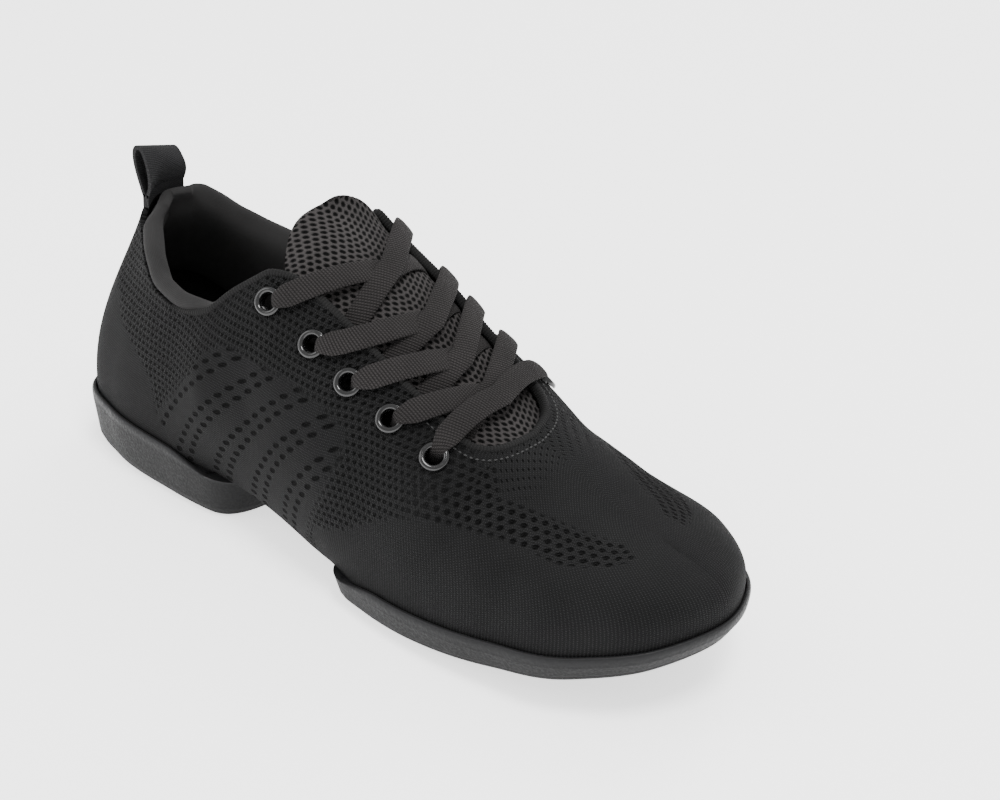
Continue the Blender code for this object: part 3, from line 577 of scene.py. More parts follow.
def sweep(path, normals, profile):
    # a profile, as pairs of width and height, carried along a path whose normals are given
    tangents = np.gradient(path, axis=0)
    tangents = unit(tangents)
    across = np.cross(normals, tangents)
    across = unit(across)
    upward = np.cross(tangents, across)
    return path[:, None] + across[:, None] * profile[..., :1] + upward[:, None] * profile[..., 1:]


def ovalProfile(points, power=2.6):
    # one unit wide and high, with flatter sides for a higher power
    angles = np.linspace(0, 2 * math.pi, points + 1)
    waves = (np.cos(angles), np.sin(angles))
    return pair(*(np.sign(wave) * np.abs(wave) ** (2 / power) / 2 for wave in waves))


def readAt(where, lengths, values):
    # points or normals, read at other lengths along their line
    return np.array([np.interp(where, lengths, values[:, axis]) for axis in range(3)]).T


def soften(values, count):
    # each row becomes a mean of its neighbours, in which the nearest weigh most
    window = np.exp(-np.linspace(-2, 2, count) ** 2)
    padded = np.pad(values, ((count // 2, count // 2), (0, 0)), "edge")
    return np.array([np.convolve(column, window / window.sum(), "valid") for column in padded.T]).T


def edgeLine(points, spacing):
    # a smooth line through points, read at even spacing
    fine = resample(points[:, None], len(points) * 6, 1)[:, 0]
    lengths = lengthsOf(fine)
    return readAt(np.linspace(0, lengths[-1], max(int(lengths[-1] / spacing), 2)), lengths, fine)


# Node helpers and the groups that the finishes share

def feed(socket, value):
    # a link where the value comes from another node, or else the value itself
    if isinstance(value, bpy.types.NodeSocket):
        socket.id_data.links.new(value, socket)
    else:
        socket.default_value = value


def wire(tree, kind, inputs=None, **settings):
    made = tree.nodes.new(kind)
    for name, value in settings.items():
        setattr(made, name, value)
    for key, value in (inputs or {}).items():
        feed(made.inputs[key], value)
    return made


def calc(operation, *values):
    # in the node tree of the first value that comes from a node
    tree = next(value for value in values if isinstance(value, bpy.types.NodeSocket)).id_data
    return wire(tree, "ShaderNodeMath", dict(enumerate(values)), operation=operation).outputs[0]


def sums(*operations):
    return (functools.partial(calc, operation) for operation in operations)


add, minus, times, divided = sums("ADD", "SUBTRACT", "MULTIPLY", "DIVIDE")
larger, lessThan, remainder, wholePart = sums("MAXIMUM", "LESS_THAN", "FLOORED_MODULO", "FLOOR")
absolute, squareRoot, sine, cosine = sums("ABSOLUTE", "SQRT", "SINE", "COSINE")


def distance(x, y):
    return squareRoot(add(times(x, x), times(y, y)))


def ramp(value, low, high, start=0.0, end=1.0):
    keys = {"Value": value, "From Min": low, "From Max": high, "To Min": start, "To Max": end}
    return wire(value.id_data, "ShaderNodeMapRange", keys, interpolation_type="SMOOTHSTEP").outputs[0]


def noise(vector, scale, detail=2.0):
    keys = {"Vector": vector, "Scale": scale, "Detail": detail}
    return wire(vector.id_data, "ShaderNodeTexNoise", keys).outputs["Fac"]


def partsOf(vector):
    return wire(vector.id_data, "ShaderNodeSeparateXYZ", {0: vector}).outputs


def mixColour(share, *colours):
    first, second = ((*colour, 1.0) if isinstance(colour, tuple) else colour for colour in colours)
    keys = {0: share, 6: first, 7: second}
    return wire(share.id_data, "ShaderNodeMix", keys, data_type="RGBA").outputs[2]


def shaded(colour, share, spread):
    # a colour with slow light and dark patches
    return mixColour(share, *(tuple(c * scale for c in colour) for scale in (1 - spread, 1 + spread)))


def cell(value, pitch, shift=0.0):
    # the cell's number, and the place in it from -0.5 to 0.5
    counted = add(divided(value, pitch), shift)
    number = wholePart(counted)
    return number, minus(minus(counted, number), 0.5)


def newGroup(name, inputs, outputs):
    tree = bpy.data.node_groups.new(name, "ShaderNodeTree")
    for key, value in inputs.items():
        kind = "NodeSocketVector" if value is None else "NodeSocketFloat"
        socket = tree.interface.new_socket(name=key, in_out="INPUT", socket_type=kind)
        if value is not None:
            socket.default_value = value
    for key in outputs:
        tree.interface.new_socket(name=key, in_out="OUTPUT", socket_type="NodeSocketFloat")
    return tree, wire(tree, "NodeGroupInput").outputs, wire(tree, "NodeGroupOutput").inputs


def makeHoles():
    # rows of small holes, every second row shifted, with the yarn's loops between them
    keys = {"Vector": None, "Pitch U": 2.2, "Pitch V": 2.6, "Shift": 0.5, "Radius": 0.5, "Soft": 0.25}
    tree, given, out = newGroup("knitHoles", keys, ("Hole", "Yarn"))
    uv = partsOf(given["Vector"])
    row, b = cell(uv[1], given["Pitch V"])
    a = cell(uv[0], given["Pitch U"], times(remainder(row, 2.0), given["Shift"]))[1]
    wobble = times(minus(noise(given["Vector"], 0.6), 0.5), 0.5)
    far = add(distance(times(a, given["Pitch U"]), times(b, given["Pitch V"])), wobble)
    inner, outer = minus(given["Radius"], given["Soft"]), add(given["Radius"], given["Soft"])
    feed(out["Hole"], ramp(far, inner, outer, 1.0, 0.0))
    twoTurns = 4 * math.pi
    loop = times(cosine(times(a, twoTurns)), 0.5)
    bar = cosine(times(add(b, absolute(a)), twoTurns))
    feed(out["Yarn"], add(loop, times(bar, 0.5)))
    return tree


def makeStitches():
    # plain knit: columns of small V-shaped stitches
    keys = {"Vector": None, "Pitch U": 1.2, "Pitch V": 0.9, "Lean": 0.5}
    tree, given, out = newGroup("plainKnit", keys, ("Height",))
    uv = partsOf(given["Vector"])
    side = absolute(cell(uv[0], given["Pitch U"])[1])
    b = cell(uv[1], given["Pitch V"], times(side, given["Lean"]))[1]
    legCentre, legWave, beadWave = 0.25, 9.0, 5.6
    leg = cosine(times(minus(side, legCentre), legWave))
    bead = cosine(times(b, beadWave))
    feed(out["Height"], times(larger(leg, 0.0), larger(bead, 0.0)))
    return tree


def makeFibres():
    # fine fuzz and slow changes of shade that all of the cloths have
    keys = {"Vector": None, "Fuzz": 2500.0, "Patches": 45.0}
    tree, given, out = newGroup("clothFibres", keys, ("Fuzz", "Shade"))
    feed(out["Fuzz"], noise(given["Vector"], given["Fuzz"], 3.0))
    feed(out["Shade"], ramp(noise(given["Vector"], given["Patches"]), 0.3, 0.7))
    return tree


def makeWeave():
    # ribs across a tape, lace or strap, with its threads between them
    keys = {"Vector": None, "Rib": 0.9, "Thread": 0.6, "Lean": 0.0}
    tree, given, out = newGroup("tapeWeave", keys, ("Height",))
    uv = partsOf(given["Vector"])
    ribNumber, ribPlace = cell(add(uv[1], times(uv[0], given["Lean"])), given["Rib"])
    threadPlace = cell(uv[0], given["Thread"], times(remainder(ribNumber, 2.0), 0.5))[1]
    high, fine = (cosine(times(where, math.pi)) for where in (ribPlace, threadPlace))
    feed(out["Height"], times(high, add(times(fine, 0.6), 0.4)))
    return tree


knitHoles, plainKnit, clothFibres, tapeWeave = makeHoles(), makeStitches(), makeFibres(), makeWeave()


def objectPlace(tree):
    return wire(tree, "ShaderNodeTexCoord").outputs["Object"]


def uvOf(tree, name):
    return wire(tree, "ShaderNodeUVMap", uv_map=name).outputs[0]


def maskOf(tree, name):
    return wire(tree, "ShaderNodeAttribute", attribute_name=name).outputs["Fac"]


def newFinish(name, look):
    made = bpy.data.materials.new(name)
    made.use_nodes = True
    tree = made.node_tree
    shader = tree.nodes["Principled BSDF"]
    for key in ("Sheen Weight", "Sheen Roughness", "Coat Weight", "Coat Roughness", "Specular IOR Level"):
        if key in look:
            shader.inputs[key].default_value = look[key]
    return made, tree, shader


def groupSet(kind, vector, values):
    # a group placed in a material, with its own values
    return wire(vector.id_data, "ShaderNodeGroup", {"Vector": vector, **values}, node_tree=kind).outputs


def connect(shader, colour, roughness, height, depth):
    keys = {"Height": height, "Strength": 1.0, "Distance": depth}
    bump = wire(shader.id_data, "ShaderNodeBump", keys).outputs[0]
    for key, value in (("Normal", bump), ("Base Color", colour), ("Roughness", roughness)):
        feed(shader.inputs[key], value)


knitLook = {
    "yarn": (0.0225, 0.0225, 0.0230),
    "dense": (0.0200, 0.0200, 0.0206),
    # the holes' near-black colour is painted shade, and the grooves between the stitches take it too
    "hole": (0.0005, 0.0005, 0.0005),
    "Sheen Weight": 0.02,
    "Sheen Roughness": 0.5,
    "Specular IOR Level": 0.06,
    "depth": 0.9 * mm,
    "spread": 0.12,
    "grooveShade": 0.72,
    "fineRelief": 0.30,
    "loopRelief": 0.22,
    "holeRelief": 1.1,
    "fuzzRelief": 0.12,
    "mesh": {"Pitch U": 2.3, "Pitch V": 2.55, "Radius": 0.64, "Soft": 0.26},
    "wave": {"Pitch U": 3.5, "Pitch V": 3.0, "Radius": 0.95, "Soft": 0.35},
    "vamp": {"Pitch U": 2.6, "Pitch V": 2.2, "Radius": 0.42, "Soft": 0.3},
    "plain": {"Pitch U": 1.25, "Pitch V": 1.1, "Lean": 0.5},
    "twill": {"Pitch U": 1.3, "Pitch V": 0.9, "Lean": 1.0},
}
maskNames = ("openKnit", "bandKnit", "waveKnit", "counterKnit", "vampKnit")


def bandHoles(bands):
    # two columns of large holes in each band, the left one half a step lower
    look = bandLook
    x = add(times(cell(bands[0], look["period"])[1], look["period"]), look["offset"])
    shift = times(lessThan(x, 0.0), 0.5)
    z = times(cell(bands[1], look["step"], shift)[1], look["step"])
    far = distance(minus(absolute(x), look["half"]), z)
    return ramp(far, look["radius"] - look["soft"], look["radius"] + look["soft"], 1.0, 0.0)


def knitFinish(look):
    made, tree, shader = newFinish("blackKnit", look)
    wallUv, vampUv, bandUv = (uvOf(tree, name) for name in ("wall", "vamp", "bands"))
    openMask, bandMask, waveMask, counterMask, vampMask = (maskOf(tree, name) for name in maskNames)
    mesh, wave = (groupSet(knitHoles, wallUv, look[name]) for name in ("mesh", "wave"))
    vamp = groupSet(knitHoles, vampUv, look["vamp"])
    hole = times(mesh["Hole"], openMask)
    others = ((wave["Hole"], waveMask), (bandHoles(partsOf(bandUv)), bandMask), (vamp["Hole"], vampMask))
    for opening, mask in others:
        hole = larger(hole, times(opening, mask))
    plain = groupSet(plainKnit, vampUv, look["plain"])["Height"]
    twill = groupSet(plainKnit, wallUv, look["twill"])["Height"]
    twilled = larger(larger(counterMask, bandMask), larger(openMask, waveMask))
    fine = add(times(twill, twilled), times(plain, minus(1.0, twilled)))
    loops = add(times(mesh["Yarn"], openMask), times(wave["Yarn"], waveMask))
    fibres = groupSet(clothFibres, objectPlace(tree), {})
    height = add(times(fine, look["fineRelief"]), times(loops, look["loopRelief"]))
    height = minus(height, times(hole, look["holeRelief"]))
    height = add(height, times(fibres["Fuzz"], look["fuzzRelief"]))
    yarn = mixColour(counterMask, shaded(look["yarn"], fibres["Shade"], look["spread"]), look["dense"])
    # painted shade: the grooves between the stitches and then the holes darken towards the hole colour
    yarn = mixColour(times(minus(1.0, fine), look["grooveShade"]), yarn, look["hole"])
    colour = mixColour(hole, yarn, look["hole"])
    connect(shader, colour, ramp(hole, 0.0, 1.0, 0.82, 1.0), height, look["depth"])
    return made


def clothFinish(name, look):
    # one woven or knitted cloth: jersey, mesh, tape, lace or webbing, by its values
    made, tree, shader = newFinish(name, look)
    uv = uvOf(tree, "cloth")
    fibres = groupSet(clothFibres, objectPlace(tree), {})
    # each branch gives hole, the share of painted shade: the mesh's holes, the grooves between the weave's
    # ribs, the grooves between the knit's stitches
    if "holes" in look:
        holes = groupSet(knitHoles, uv, look["holes"])
        hole = holes["Hole"]
        relief = minus(times(holes["Yarn"], 0.2), hole)
    elif "rib" in look:
        values = {"Rib": look["rib"], "Thread": look["thread"], "Lean": look.get("lean", 0.0)}
        relief = groupSet(tapeWeave, uv, values)["Height"]
        hole = times(minus(1.0, relief), look.get("grooveShade", 0.4))
    else:
        values = {"Pitch U": look["pitch"], "Pitch V": look["pitch"] * 0.8}
        relief = groupSet(plainKnit, uv, values)["Height"]
        hole = times(minus(1.0, relief), look.get("grooveShade", 0.2))
    height = add(relief, times(fibres["Fuzz"], 0.4))
    # the dark colour is painted shade in these holes and grooves
    colour = mixColour(hole, shaded(look["colour"], fibres["Shade"], 0.15), look["dark"])
    rough = ramp(fibres["Fuzz"], 0.2, 0.8, look["rough"] - 0.08, look["rough"] + 0.05)
    connect(shader, colour, rough, height, look["depth"])
    return made


def rubberFinish(look):
    made, tree, shader = newFinish("soleRubber", look)
    where = objectPlace(tree)
    grain, slow = noise(where, 1400.0, 3.0), noise(where, 60.0)
    speck = wire(tree, "ShaderNodeTexVoronoi", {"Vector": where, "Scale": 700.0}).outputs["Distance"]
    lip, tread = maskOf(tree, "lip"), maskOf(tree, "tread")
    xyz = partsOf(where)
    wavy = times(sine(times(xyz[1], look["waves"])), 0.9)
    ribs = sine(add(times(xyz[0], look["ribs"]), wavy))
    height = add(times(grain, 0.6), times(speck, 0.5))
    height = add(height, times(times(ribs, tread), 3.0))
    colour = mixColour(lip, shaded(look["colour"], ramp(slow, 0.3, 0.7), 0.10), look["lip"])
    rough = minus(ramp(grain, 0.3, 0.7, 0.56, 0.72), times(lip, 0.16))
    connect(shader, colour, rough, height, look["depth"])
    return made


def metalFinish(look):
    made, tree, shader = newFinish("eyeletEnamel", look)
    grain = noise(objectPlace(tree), 900.0)
    shader.inputs["Metallic"].default_value = 0.1
    rough = ramp(grain, 0.2, 0.8, 0.12, 0.22)
    connect(shader, shaded(look["colour"], grain, 0.2), rough, grain, 0.02 * mm)
    return made


# Upper

bandLook = {
    "period": 15.0,
    "offset": 1.0,
    "half": 2.5,
    "step": 4.4,
    "radius": 1.2,
    "soft": 0.35,
    "lean": 0.30,
    "curve": 0.008,
    "start": 65.0,
}

# The knit's zones, as places on the wall: at along the shoe and v up from the sole.
counterLine = table(
    "at v",
    (0.00, 0.68), (0.105, 0.625), (0.125, 0.55), (0.17, 0.525), (0.20, 0.475),
    (0.22, 0.40), (0.23, 0.225), (0.255, 0.075), (0.27, -0.2))
bandTop = table(
    "at v",
    (0.23, 0.225), (0.29, 0.575), (0.325, 0.75), (0.365, 0.725), (0.395, 0.65),
    (0.43, 0.60), (0.49, 0.525), (0.525, 0.50), (0.56, 0.475))
bandFront = table("v at", (0.0, 0.48), (0.125, 0.505), (0.225, 0.53), (0.35, 0.55), (0.475, 0.56))
waveLow = table(
    "at v",
    (0.49, -0.1), (0.51, 0.125), (0.565, 0.175), (0.645, 0.35), (0.70, 0.45),
    (0.765, 0.50), (0.845, 0.525), (0.88, 0.60), (0.915, 0.72))
waveTop = table(
    "at v",
    (0.66, 1.1), (0.695, 0.80), (0.735, 0.65), (0.785, 0.70), (0.84, 0.75), (0.885, 0.80), (0.915, 0.74))

# Soft creases: from one place to another on one side, with their width and their depth, ridges below 0.
creaseTable = table(
    "side at v toAt toV width depth",
    (-1, 0.10, 0.70, 0.20, 0.92, 7.0, 0.5),
    (-1, 0.25, 0.62, 0.26, 0.97, 6.0, 0.45),
    (-1, 0.33, 0.70, 0.40, 0.45, 8.0, 0.4),
    (-1, 0.44, 0.70, 0.47, 0.92, 5.0, 0.5),
    (-1, 0.515, 0.70, 0.52, 0.93, 5.0, 0.5),
    (-1, 0.57, 0.66, 0.575, 0.93, 5.0, 0.45),
    (-1, 0.63, 0.62, 0.63, 0.92, 5.0, 0.4),
    (-1, 0.70, 0.42, 0.735, 0.80, 7.0, 0.45),
    (-1, 0.745, 0.62, 0.75, 0.95, 6.0, -0.35),
    (1, 0.12, 0.70, 0.22, 0.92, 7.0, 0.5),
    (1, 0.30, 0.65, 0.36, 0.40, 8.0, 0.45),
    (1, 0.45, 0.70, 0.47, 0.92, 5.0, 0.5),
    (1, 0.54, 0.68, 0.545, 0.92, 5.0, 0.45),
    (1, 0.70, 0.45, 0.73, 0.80, 7.0, 0.45),
)


def creaseDepth(at, v, side):
    depth = np.zeros_like(at)
    for ownSide, startAt, startV, endAt, endV, width, deep in zip(*creaseTable.values()):
        start = np.array([startAt * soleLength, startV * collarHeight])
        run = np.array([endAt * soleLength, endV * collarHeight]) - start
        offset = np.stack([at * soleLength, v * collarHeight], -1) - start
        along = np.clip(offset @ run / (run @ run), 0, 1)
        far = np.linalg.norm(offset - along[..., None] * run, axis=-1) / (width * mm)
        depth += np.where(side == ownSide, np.exp(-far * far * 2) * deep * mm, 0.0)
    return depth


def zoneMasks(at, v):
    def inside(low, value):
        return blend(-0.012, 0.012, value - low)

    counter = inside(v, np.interp(at, counterLine["at"], counterLine["v"]))
    ahead = inside(at, np.interp(v, bandFront["v"], bandFront["at"]))
    bands = inside(v, np.interp(at, bandTop["at"], bandTop["v"], left=-1, right=-1)) * ahead * (1 - counter)
    wave = inside(np.interp(at, waveLow["at"], waveLow["v"], left=-1), v) * (1 - blend(0.905, 0.92, at))
    wave = wave * inside(v, np.interp(at, waveTop["at"], waveTop["v"]))
    big = blend(0.60, 0.72, at)
    openKnit = wave * (1 - bands) * (1 - counter)
    vamp = blend(0.68, 0.70, at) * (1 - blend(0.735, 0.775, at)) * blend(0.66, 0.74, v) * (1 - openKnit)
    return dict(zip(maskNames, (openKnit * (1 - big), bands, openKnit * big, counter, vamp)))


upperLook = {
    "heelStations": 100,
    "throatStations": 64,
    "endStations": 22,
    "toeStations": 78,
    "rows": 66,
    "holeRadius": 3.9 * mm,
}


def makeUpper(material):
    turn = np.sin(np.linspace(0, math.pi / 2, upperLook["endStations"]))
    ats = np.concatenate([
        np.linspace(0, collarFront, upperLook["heelStations"])[:-1],
        np.linspace(collarFront, throatRound, upperLook["throatStations"])[:-1],
        throatRound + (throatEnd - throatRound) * turn[:-1],
        np.linspace(throatEnd, 1, upperLook["toeStations"])])
    places = [(at, -1) for at in ats] + [(at, 1) for at in ats[::-1]]
    vs = np.linspace(0, 1, upperLook["rows"])
    wallGrid = np.array([wallLine(at, side, vs) for at, side in places]).transpose(1, 0, 2)
    shares = (1.0, 0.5, 0.12)
    margin = np.array([[marginPoint(at, side, share) for at, side in places] for share in shares])
    at = np.array([[at for at, side in places]] * len(vs))
    side = np.array([[side for at, side in places]] * len(vs))
    v = np.repeat(vs[:, None], len(places), axis=1)
    rise = lengthsAlong(wallGrid, 0)
    around = lengthsAlong(wallGrid, 1)
    normals = gridNormals(wallGrid)
    outwards = np.sign(np.sum(normals[20, 30] * (wallGrid[20, 30] - wallGrid[20, -30])))
    fade = blend(0.0, 0.12, v) * (1 - blend(0.93, 1.0, v))
    dips = creaseDepth(at, v, side) * fade
    wallGrid = wallGrid - normals * outwards * dips[..., None]
    toe = around[:, len(ats) - 1][:, None]
    half = np.array([throatHalf(a, s) if a < throatEnd else 0.0 for a, s in places])
    fromRidge = (rise[-1] - rise + half) * side
    lean = bandLook["lean"] * rise / mm + bandLook["curve"] * (rise / mm) ** 2
    bandX = at * soleLength / mm - bandLook["start"] - lean
    uvs = {
        "wall": pair(around / mm, rise / mm),
        "vamp": pair(fromRidge / mm, (toe - around) * -side / mm),
        "bands": pair(bandX, rise / mm),
    }
    masks = zoneMasks(at, v)
    grid = np.concatenate([margin, wallGrid])
    # the margin's rows take the values of the wall's foot
    uvs, masks = (
        {name: np.concatenate([values[:1]] * len(shares) + [values]) for name, values in kind.items()}
        for kind in (uvs, masks))
    piece = gridPiece("knit_upper", grid, uvs, masks, flip=outwards < 0)
    cutEyeletHoles(piece)
    solidify = piece.modifiers.new("Wall", "SOLIDIFY")
    solidify.thickness = wall
    solidify.offset = -1
    return dress(piece, material, "black_knit", "upper")


def cutEyeletHoles(piece):
    # the faces under each ring's flange go, so that the lace runs through a real hole
    work = bmesh.new()
    work.from_mesh(piece.data)
    gone = set()
    for side in (-1, 1):
        for row in range(len(eyeletTable["lateral"])):
            centre = Vector(eyeletPlace(row, side)[2] + place)
            reach = upperLook["holeRadius"]
            gone |= {face for face in work.faces if (face.calc_center_median() - centre).length < reach}
    bmesh.ops.delete(work, geom=list(gone), context="FACES")
    work.to_mesh(piece.data)
    work.free()


# Soles

soleLook = {"stations": 130}


def makeSole(name, start, end, backRound, frontRound, material, node):
    loop, shares = unitLoop(start, end, soleLook["stations"], backRound, frontRound)
    lip = np.ones(len(shares))
    if backRound:
        lip = lip * blend(start + backRound - 0.02, start + backRound + 0.05, shares)
    if frontRound:
        lip = lip * (1 - blend(end - frontRound - 0.05, end - frontRound + 0.02, shares))
    lip = np.concatenate([lip, lip[-2:0:-1]])
    # each ring of points: its inset, its rise off the ground, its share of the height, its lip and its mask
    bevel = soleEdge * 0.75
    sections = [
        (soleInset + soleEdge * (1 - 0.85 * math.sin(a)), (1 - math.cos(a)) * bevel, 0.0, 0.0, 0.0)
        for a in np.linspace(0, math.pi / 2, 7)]
    sections += [(soleInset * (1 - t), bevel * (1 - t), t, 0.0, 0.0) for t in np.linspace(0.05, 0.93, 16)]
    for a in np.linspace(0, math.pi, 9):
        rise = 0.35 + 0.65 * math.sin(min(a, math.pi / 2)) - 0.06 * (1 - math.sin(a)) * (a > math.pi / 2)
        sections.append((lipWidth * 0.5 * (1 - math.cos(a)), 0.0, 1.0, rise, 1.0))
    sections.append((lipWidth + 0.02 * mm, 0.0, 1.0, 0.0, 0.6))
    rings, lips = [], []
    for inset, edge, share, lipShare, lipMask in sections:
        flat = offsetLoop(loop, inset)
        low = underside(flat[:, 0])
        height = low + edge + (seat(flat[:, 0]) - low) * share + lipDepth * lip * lipShare
        rings.append(np.column_stack([flat, height]))
        lips.append(np.full(len(flat), lipMask))

    def narrowed(ring, share):
        return ring * (1 - share) + (ring + ring[-np.arange(len(ring)) % len(ring)]) / 2 * share

    inwards = [narrowed(rings[0], share) for share in (1.0, 0.75, 0.5, 0.25)]
    for ring in inwards:
        ring[:, 2] = underside(ring[:, 0])
    upwards = [narrowed(rings[-1], share) for share in (0.35, 0.7, 1.0)]
    rings = inwards + rings + upwards
    lips = [np.zeros(len(loop))] * 4 + lips + [np.zeros(len(loop))] * 3
    grid = np.array([np.concatenate([ring, ring[:1]]) for ring in rings])
    lipMask = np.array([np.concatenate([row, row[:1]]) for row in lips])
    tread = np.zeros_like(lipMask)
    tread[:4] = 1.0
    piece = gridPiece(name, grid, {}, {"lip": lipMask, "tread": tread}, caps=True, angle=75.0)
    return dress(piece, material, "sole_rubber", node)


# Collar roll

rollLook = {"stations": 130, "points": 54, "pucker": 0.12 * mm}


def rollSection(at, notch):
    padding = liningPadding * (1 - 0.80 * blend(0.28, liningFront, at))
    top = rollHeight * (1 - 0.80 * blend(0.26, liningFront, at))
    back = wall + liningGap
    outer = max(0.15 * wall, notch)
    lift = clearance + 0.1 * mm
    return np.array((
        (liningDepth, back),
        (liningDepth * 0.5, back),
        (liningDepth * 0.12, back),
        (-lift, max(back, notch)),
        (-lift - 0.3 * mm, outer + 0.2 * mm),
        (-top * 0.62, outer),
        (-top, outer + padding * 0.35),
        (-top * 0.86, outer + padding * 0.80),
        (-top * 0.15, back + padding * 0.88),
        (liningDepth * 0.15, back + padding),
        (liningDepth * 0.45, back + padding * 0.80),
        (liningDepth, back + min(padding, liningPadding * 0.25)),
    ))


def onWall(at, side, depths, insides):
    # places measured down the wall from its top edge and inwards from its face
    step = 0.003
    vs = np.linspace(1.0, 0.2, 240)
    line = wallLine(at, side, vs)
    along = wallLine(at + step, side, vs) - wallLine(at - step, side, vs)
    up = -np.gradient(line, axis=0)
    normal = np.cross(along, up) * -side
    normal = unit(normal)
    lengths = lengthsOf(line)
    deep = np.maximum(depths, 0.0)
    top = unit(up[0]) * np.minimum(depths, 0.0)[:, None]
    return readAt(deep, lengths, line) - readAt(deep, lengths, normal) * insides[:, None] - top


def makeRoll(material):
    count = rollLook["stations"] // 2
    ats = liningFront * np.linspace(0, 1, count) ** 1.15
    places = [(at, -1) for at in ats[::-1]] + [(at, 1) for at in ats[1:]]
    half = loopWidth / 2 + loopNotch
    rings = []
    for at, side in places:
        y = abs(wallLine(at, side, 1.0)[1])
        notch = (strapThickness * 2 + clearance * 4) * (1 - blend(half - 0.5 * mm, half + 7 * mm, y))
        section = rollSection(at, notch)
        closed = np.concatenate([section, section[:1]])
        smooth = resample(closed[:, None], rollLook["points"], 1)[:, 0]
        smooth[-1] = smooth[0]
        pucker = rollLook["pucker"] * math.sin(at * 95 + side) * blend(0.05, 0.12, at)
        smooth[:, 1] += pucker * np.sin(np.linspace(0, math.pi, len(smooth))) ** 2
        rings.append(onWall(at, side, smooth[:, 0], smooth[:, 1]))
    grid = np.array(rings)
    uvs = {"cloth": pair(lengthsAlong(grid, 0) / mm, lengthsAlong(grid, 1) / mm)}
    piece = gridPiece("collar_roll", grid, uvs, caps=True)
    return dress(piece, material, "lining_jersey", "collar_lining")


# Tongue

tongueLook = {
    "rows": 150,
    "columns": 120,
    "pitchU": 2.5,
    "pitchV": 2.3,
    "holeSize": 1.25,
    "holeFlat": 0.9,
    "holeSlope": 2.9,
    "holeDepth": 0.45 * mm,
    "roundPower": 3.0,
}


def makeTongue(material):
    look = tongueLook
    top = collarFront - tongueRise / soleLength
    root = throatEnd + tongueTail / soleLength
    roundEnd = top + 0.055
    turn = np.cos(np.linspace(0.10, math.pi / 2, 14))
    shares = np.concatenate([roundEnd - (roundEnd - top) * turn, np.linspace(roundEnd, root, 24)[1:]])
    outerGrid, innerGrid = [], []
    for at in shares:
        corner = np.clip((roundEnd - at) / (roundEnd - top), 0, 1)
        spread = (1 - corner ** look["roundPower"]) ** (1 / look["roundPower"])
        half = through(np.array([top, root]), np.array([tongueTopWidth, tongueEndWidth]) / 2, at) * spread
        soft = (tonguePadding - tongueEdge) * (1 - blend(throatRound, root, at)) * (0.35 + 0.65 * spread)
        free = 1 - blend(top, top + 0.05, at)
        outer, inner = [], []
        for share in np.sin(np.linspace(-math.pi / 2, math.pi / 2, 27)):
            side = -1 if share < 0 else 1
            there = at + tongueSkew / soleLength * share * free
            across = (1 - shareAt(max(there, collarFront), side, half * abs(share))) * side
            normal = instepNormal(there, across)
            lift = 1.4 * share * (1 - share**4) if share > 0 else share
            offset = wall + tongueGap + tongueFlare * (0.3 - lift) * free
            depth = tongueEdge + soft * (1 - abs(share) ** 3)
            middle = instepPoint(there, across)
            outer.append(middle - normal * offset)
            inner.append(middle - normal * (offset + depth))
        outerGrid.append(outer)
        innerGrid.append(inner)
    rows, columns = look["rows"], look["columns"]
    outer = resample(np.array(outerGrid), rows, columns)
    inner = resample(np.array(innerGrid), rows, columns)
    uv = pair(lengthsAlong(outer, 1), lengthsAlong(outer, 0)) / mm
    uv[..., 0] -= uv[:, columns // 2, 0][:, None]
    # shallow pits under the mesh's drawn holes, in rows of which every second one is shifted
    number = np.floor(uv[..., 1] / look["pitchV"])
    a = (uv[..., 0] / look["pitchU"] + 0.5 * (number % 2)) % 1 - 0.5
    b = (uv[..., 1] / look["pitchV"]) % 1 - 0.5
    hole = np.clip(look["holeSize"] - (np.abs(a) + np.abs(b) * look["holeFlat"]) * look["holeSlope"], 0, 1)
    normal = gridNormals(outer)
    outwards = np.sign(np.sum(normal[60, 60] * (outer[60, 60] - inner[60, 60])))
    down = np.minimum(np.linspace(0, 1, rows)[:, None] * 18, 1)
    edge = down * np.minimum(12 * (1 - np.abs(np.linspace(-1, 1, columns))), 1)
    outer = outer - normal * outwards * (hole * edge * look["holeDepth"])[..., None]
    grid = np.concatenate([outer, inner[:, ::-1], outer[:, :1]], axis=1)
    inside = np.zeros((rows, columns))
    uvs = {"cloth": np.concatenate([uv, uv[:, ::-1], uv[:, :1]], axis=1)}
    masks = {"pit": np.concatenate([hole * edge, inside, (hole * edge)[:, :1]], axis=1)}
    piece = gridPiece("mesh_tongue", grid, uvs, masks, caps=True)
    return dress(piece, material, "tongue_mesh", "tongue")


# Edge tape and seam

tapeLook = {"width": 2.3 * mm, "height": 3.0 * mm, "rib": 1.05 * mm, "relief": 0.2 * mm, "start": 0.245}


def roundThroat(first, skip, *between):
    # places along the throat's edge, from the lateral corner round the toe end and back
    turn = np.sin(np.linspace(first, math.pi / 2, 14))
    ats = np.concatenate([*between, throatRound + (throatEnd - throatRound) * turn[skip:]])
    return [(at, -1) for at in ats] + [(at, 1) for at in ats[-2::-1]]


def tapePath():
    # up over the lateral front corner, round the throat and back over the medial corner
    places = roundThroat(
        0.0,
        1,
        np.linspace(tapeLook["start"], collarFront - 0.012, 18),
        [collarFront - 0.002, collarFront + 0.006],
        np.linspace(collarFront + 0.02, throatRound, 18))
    points = [wallLine(at, side, 1.0) for at, side in places]
    normals = [wallNormal(at, side, 0.99) for at, side in places]
    return np.array(points), np.array(normals)


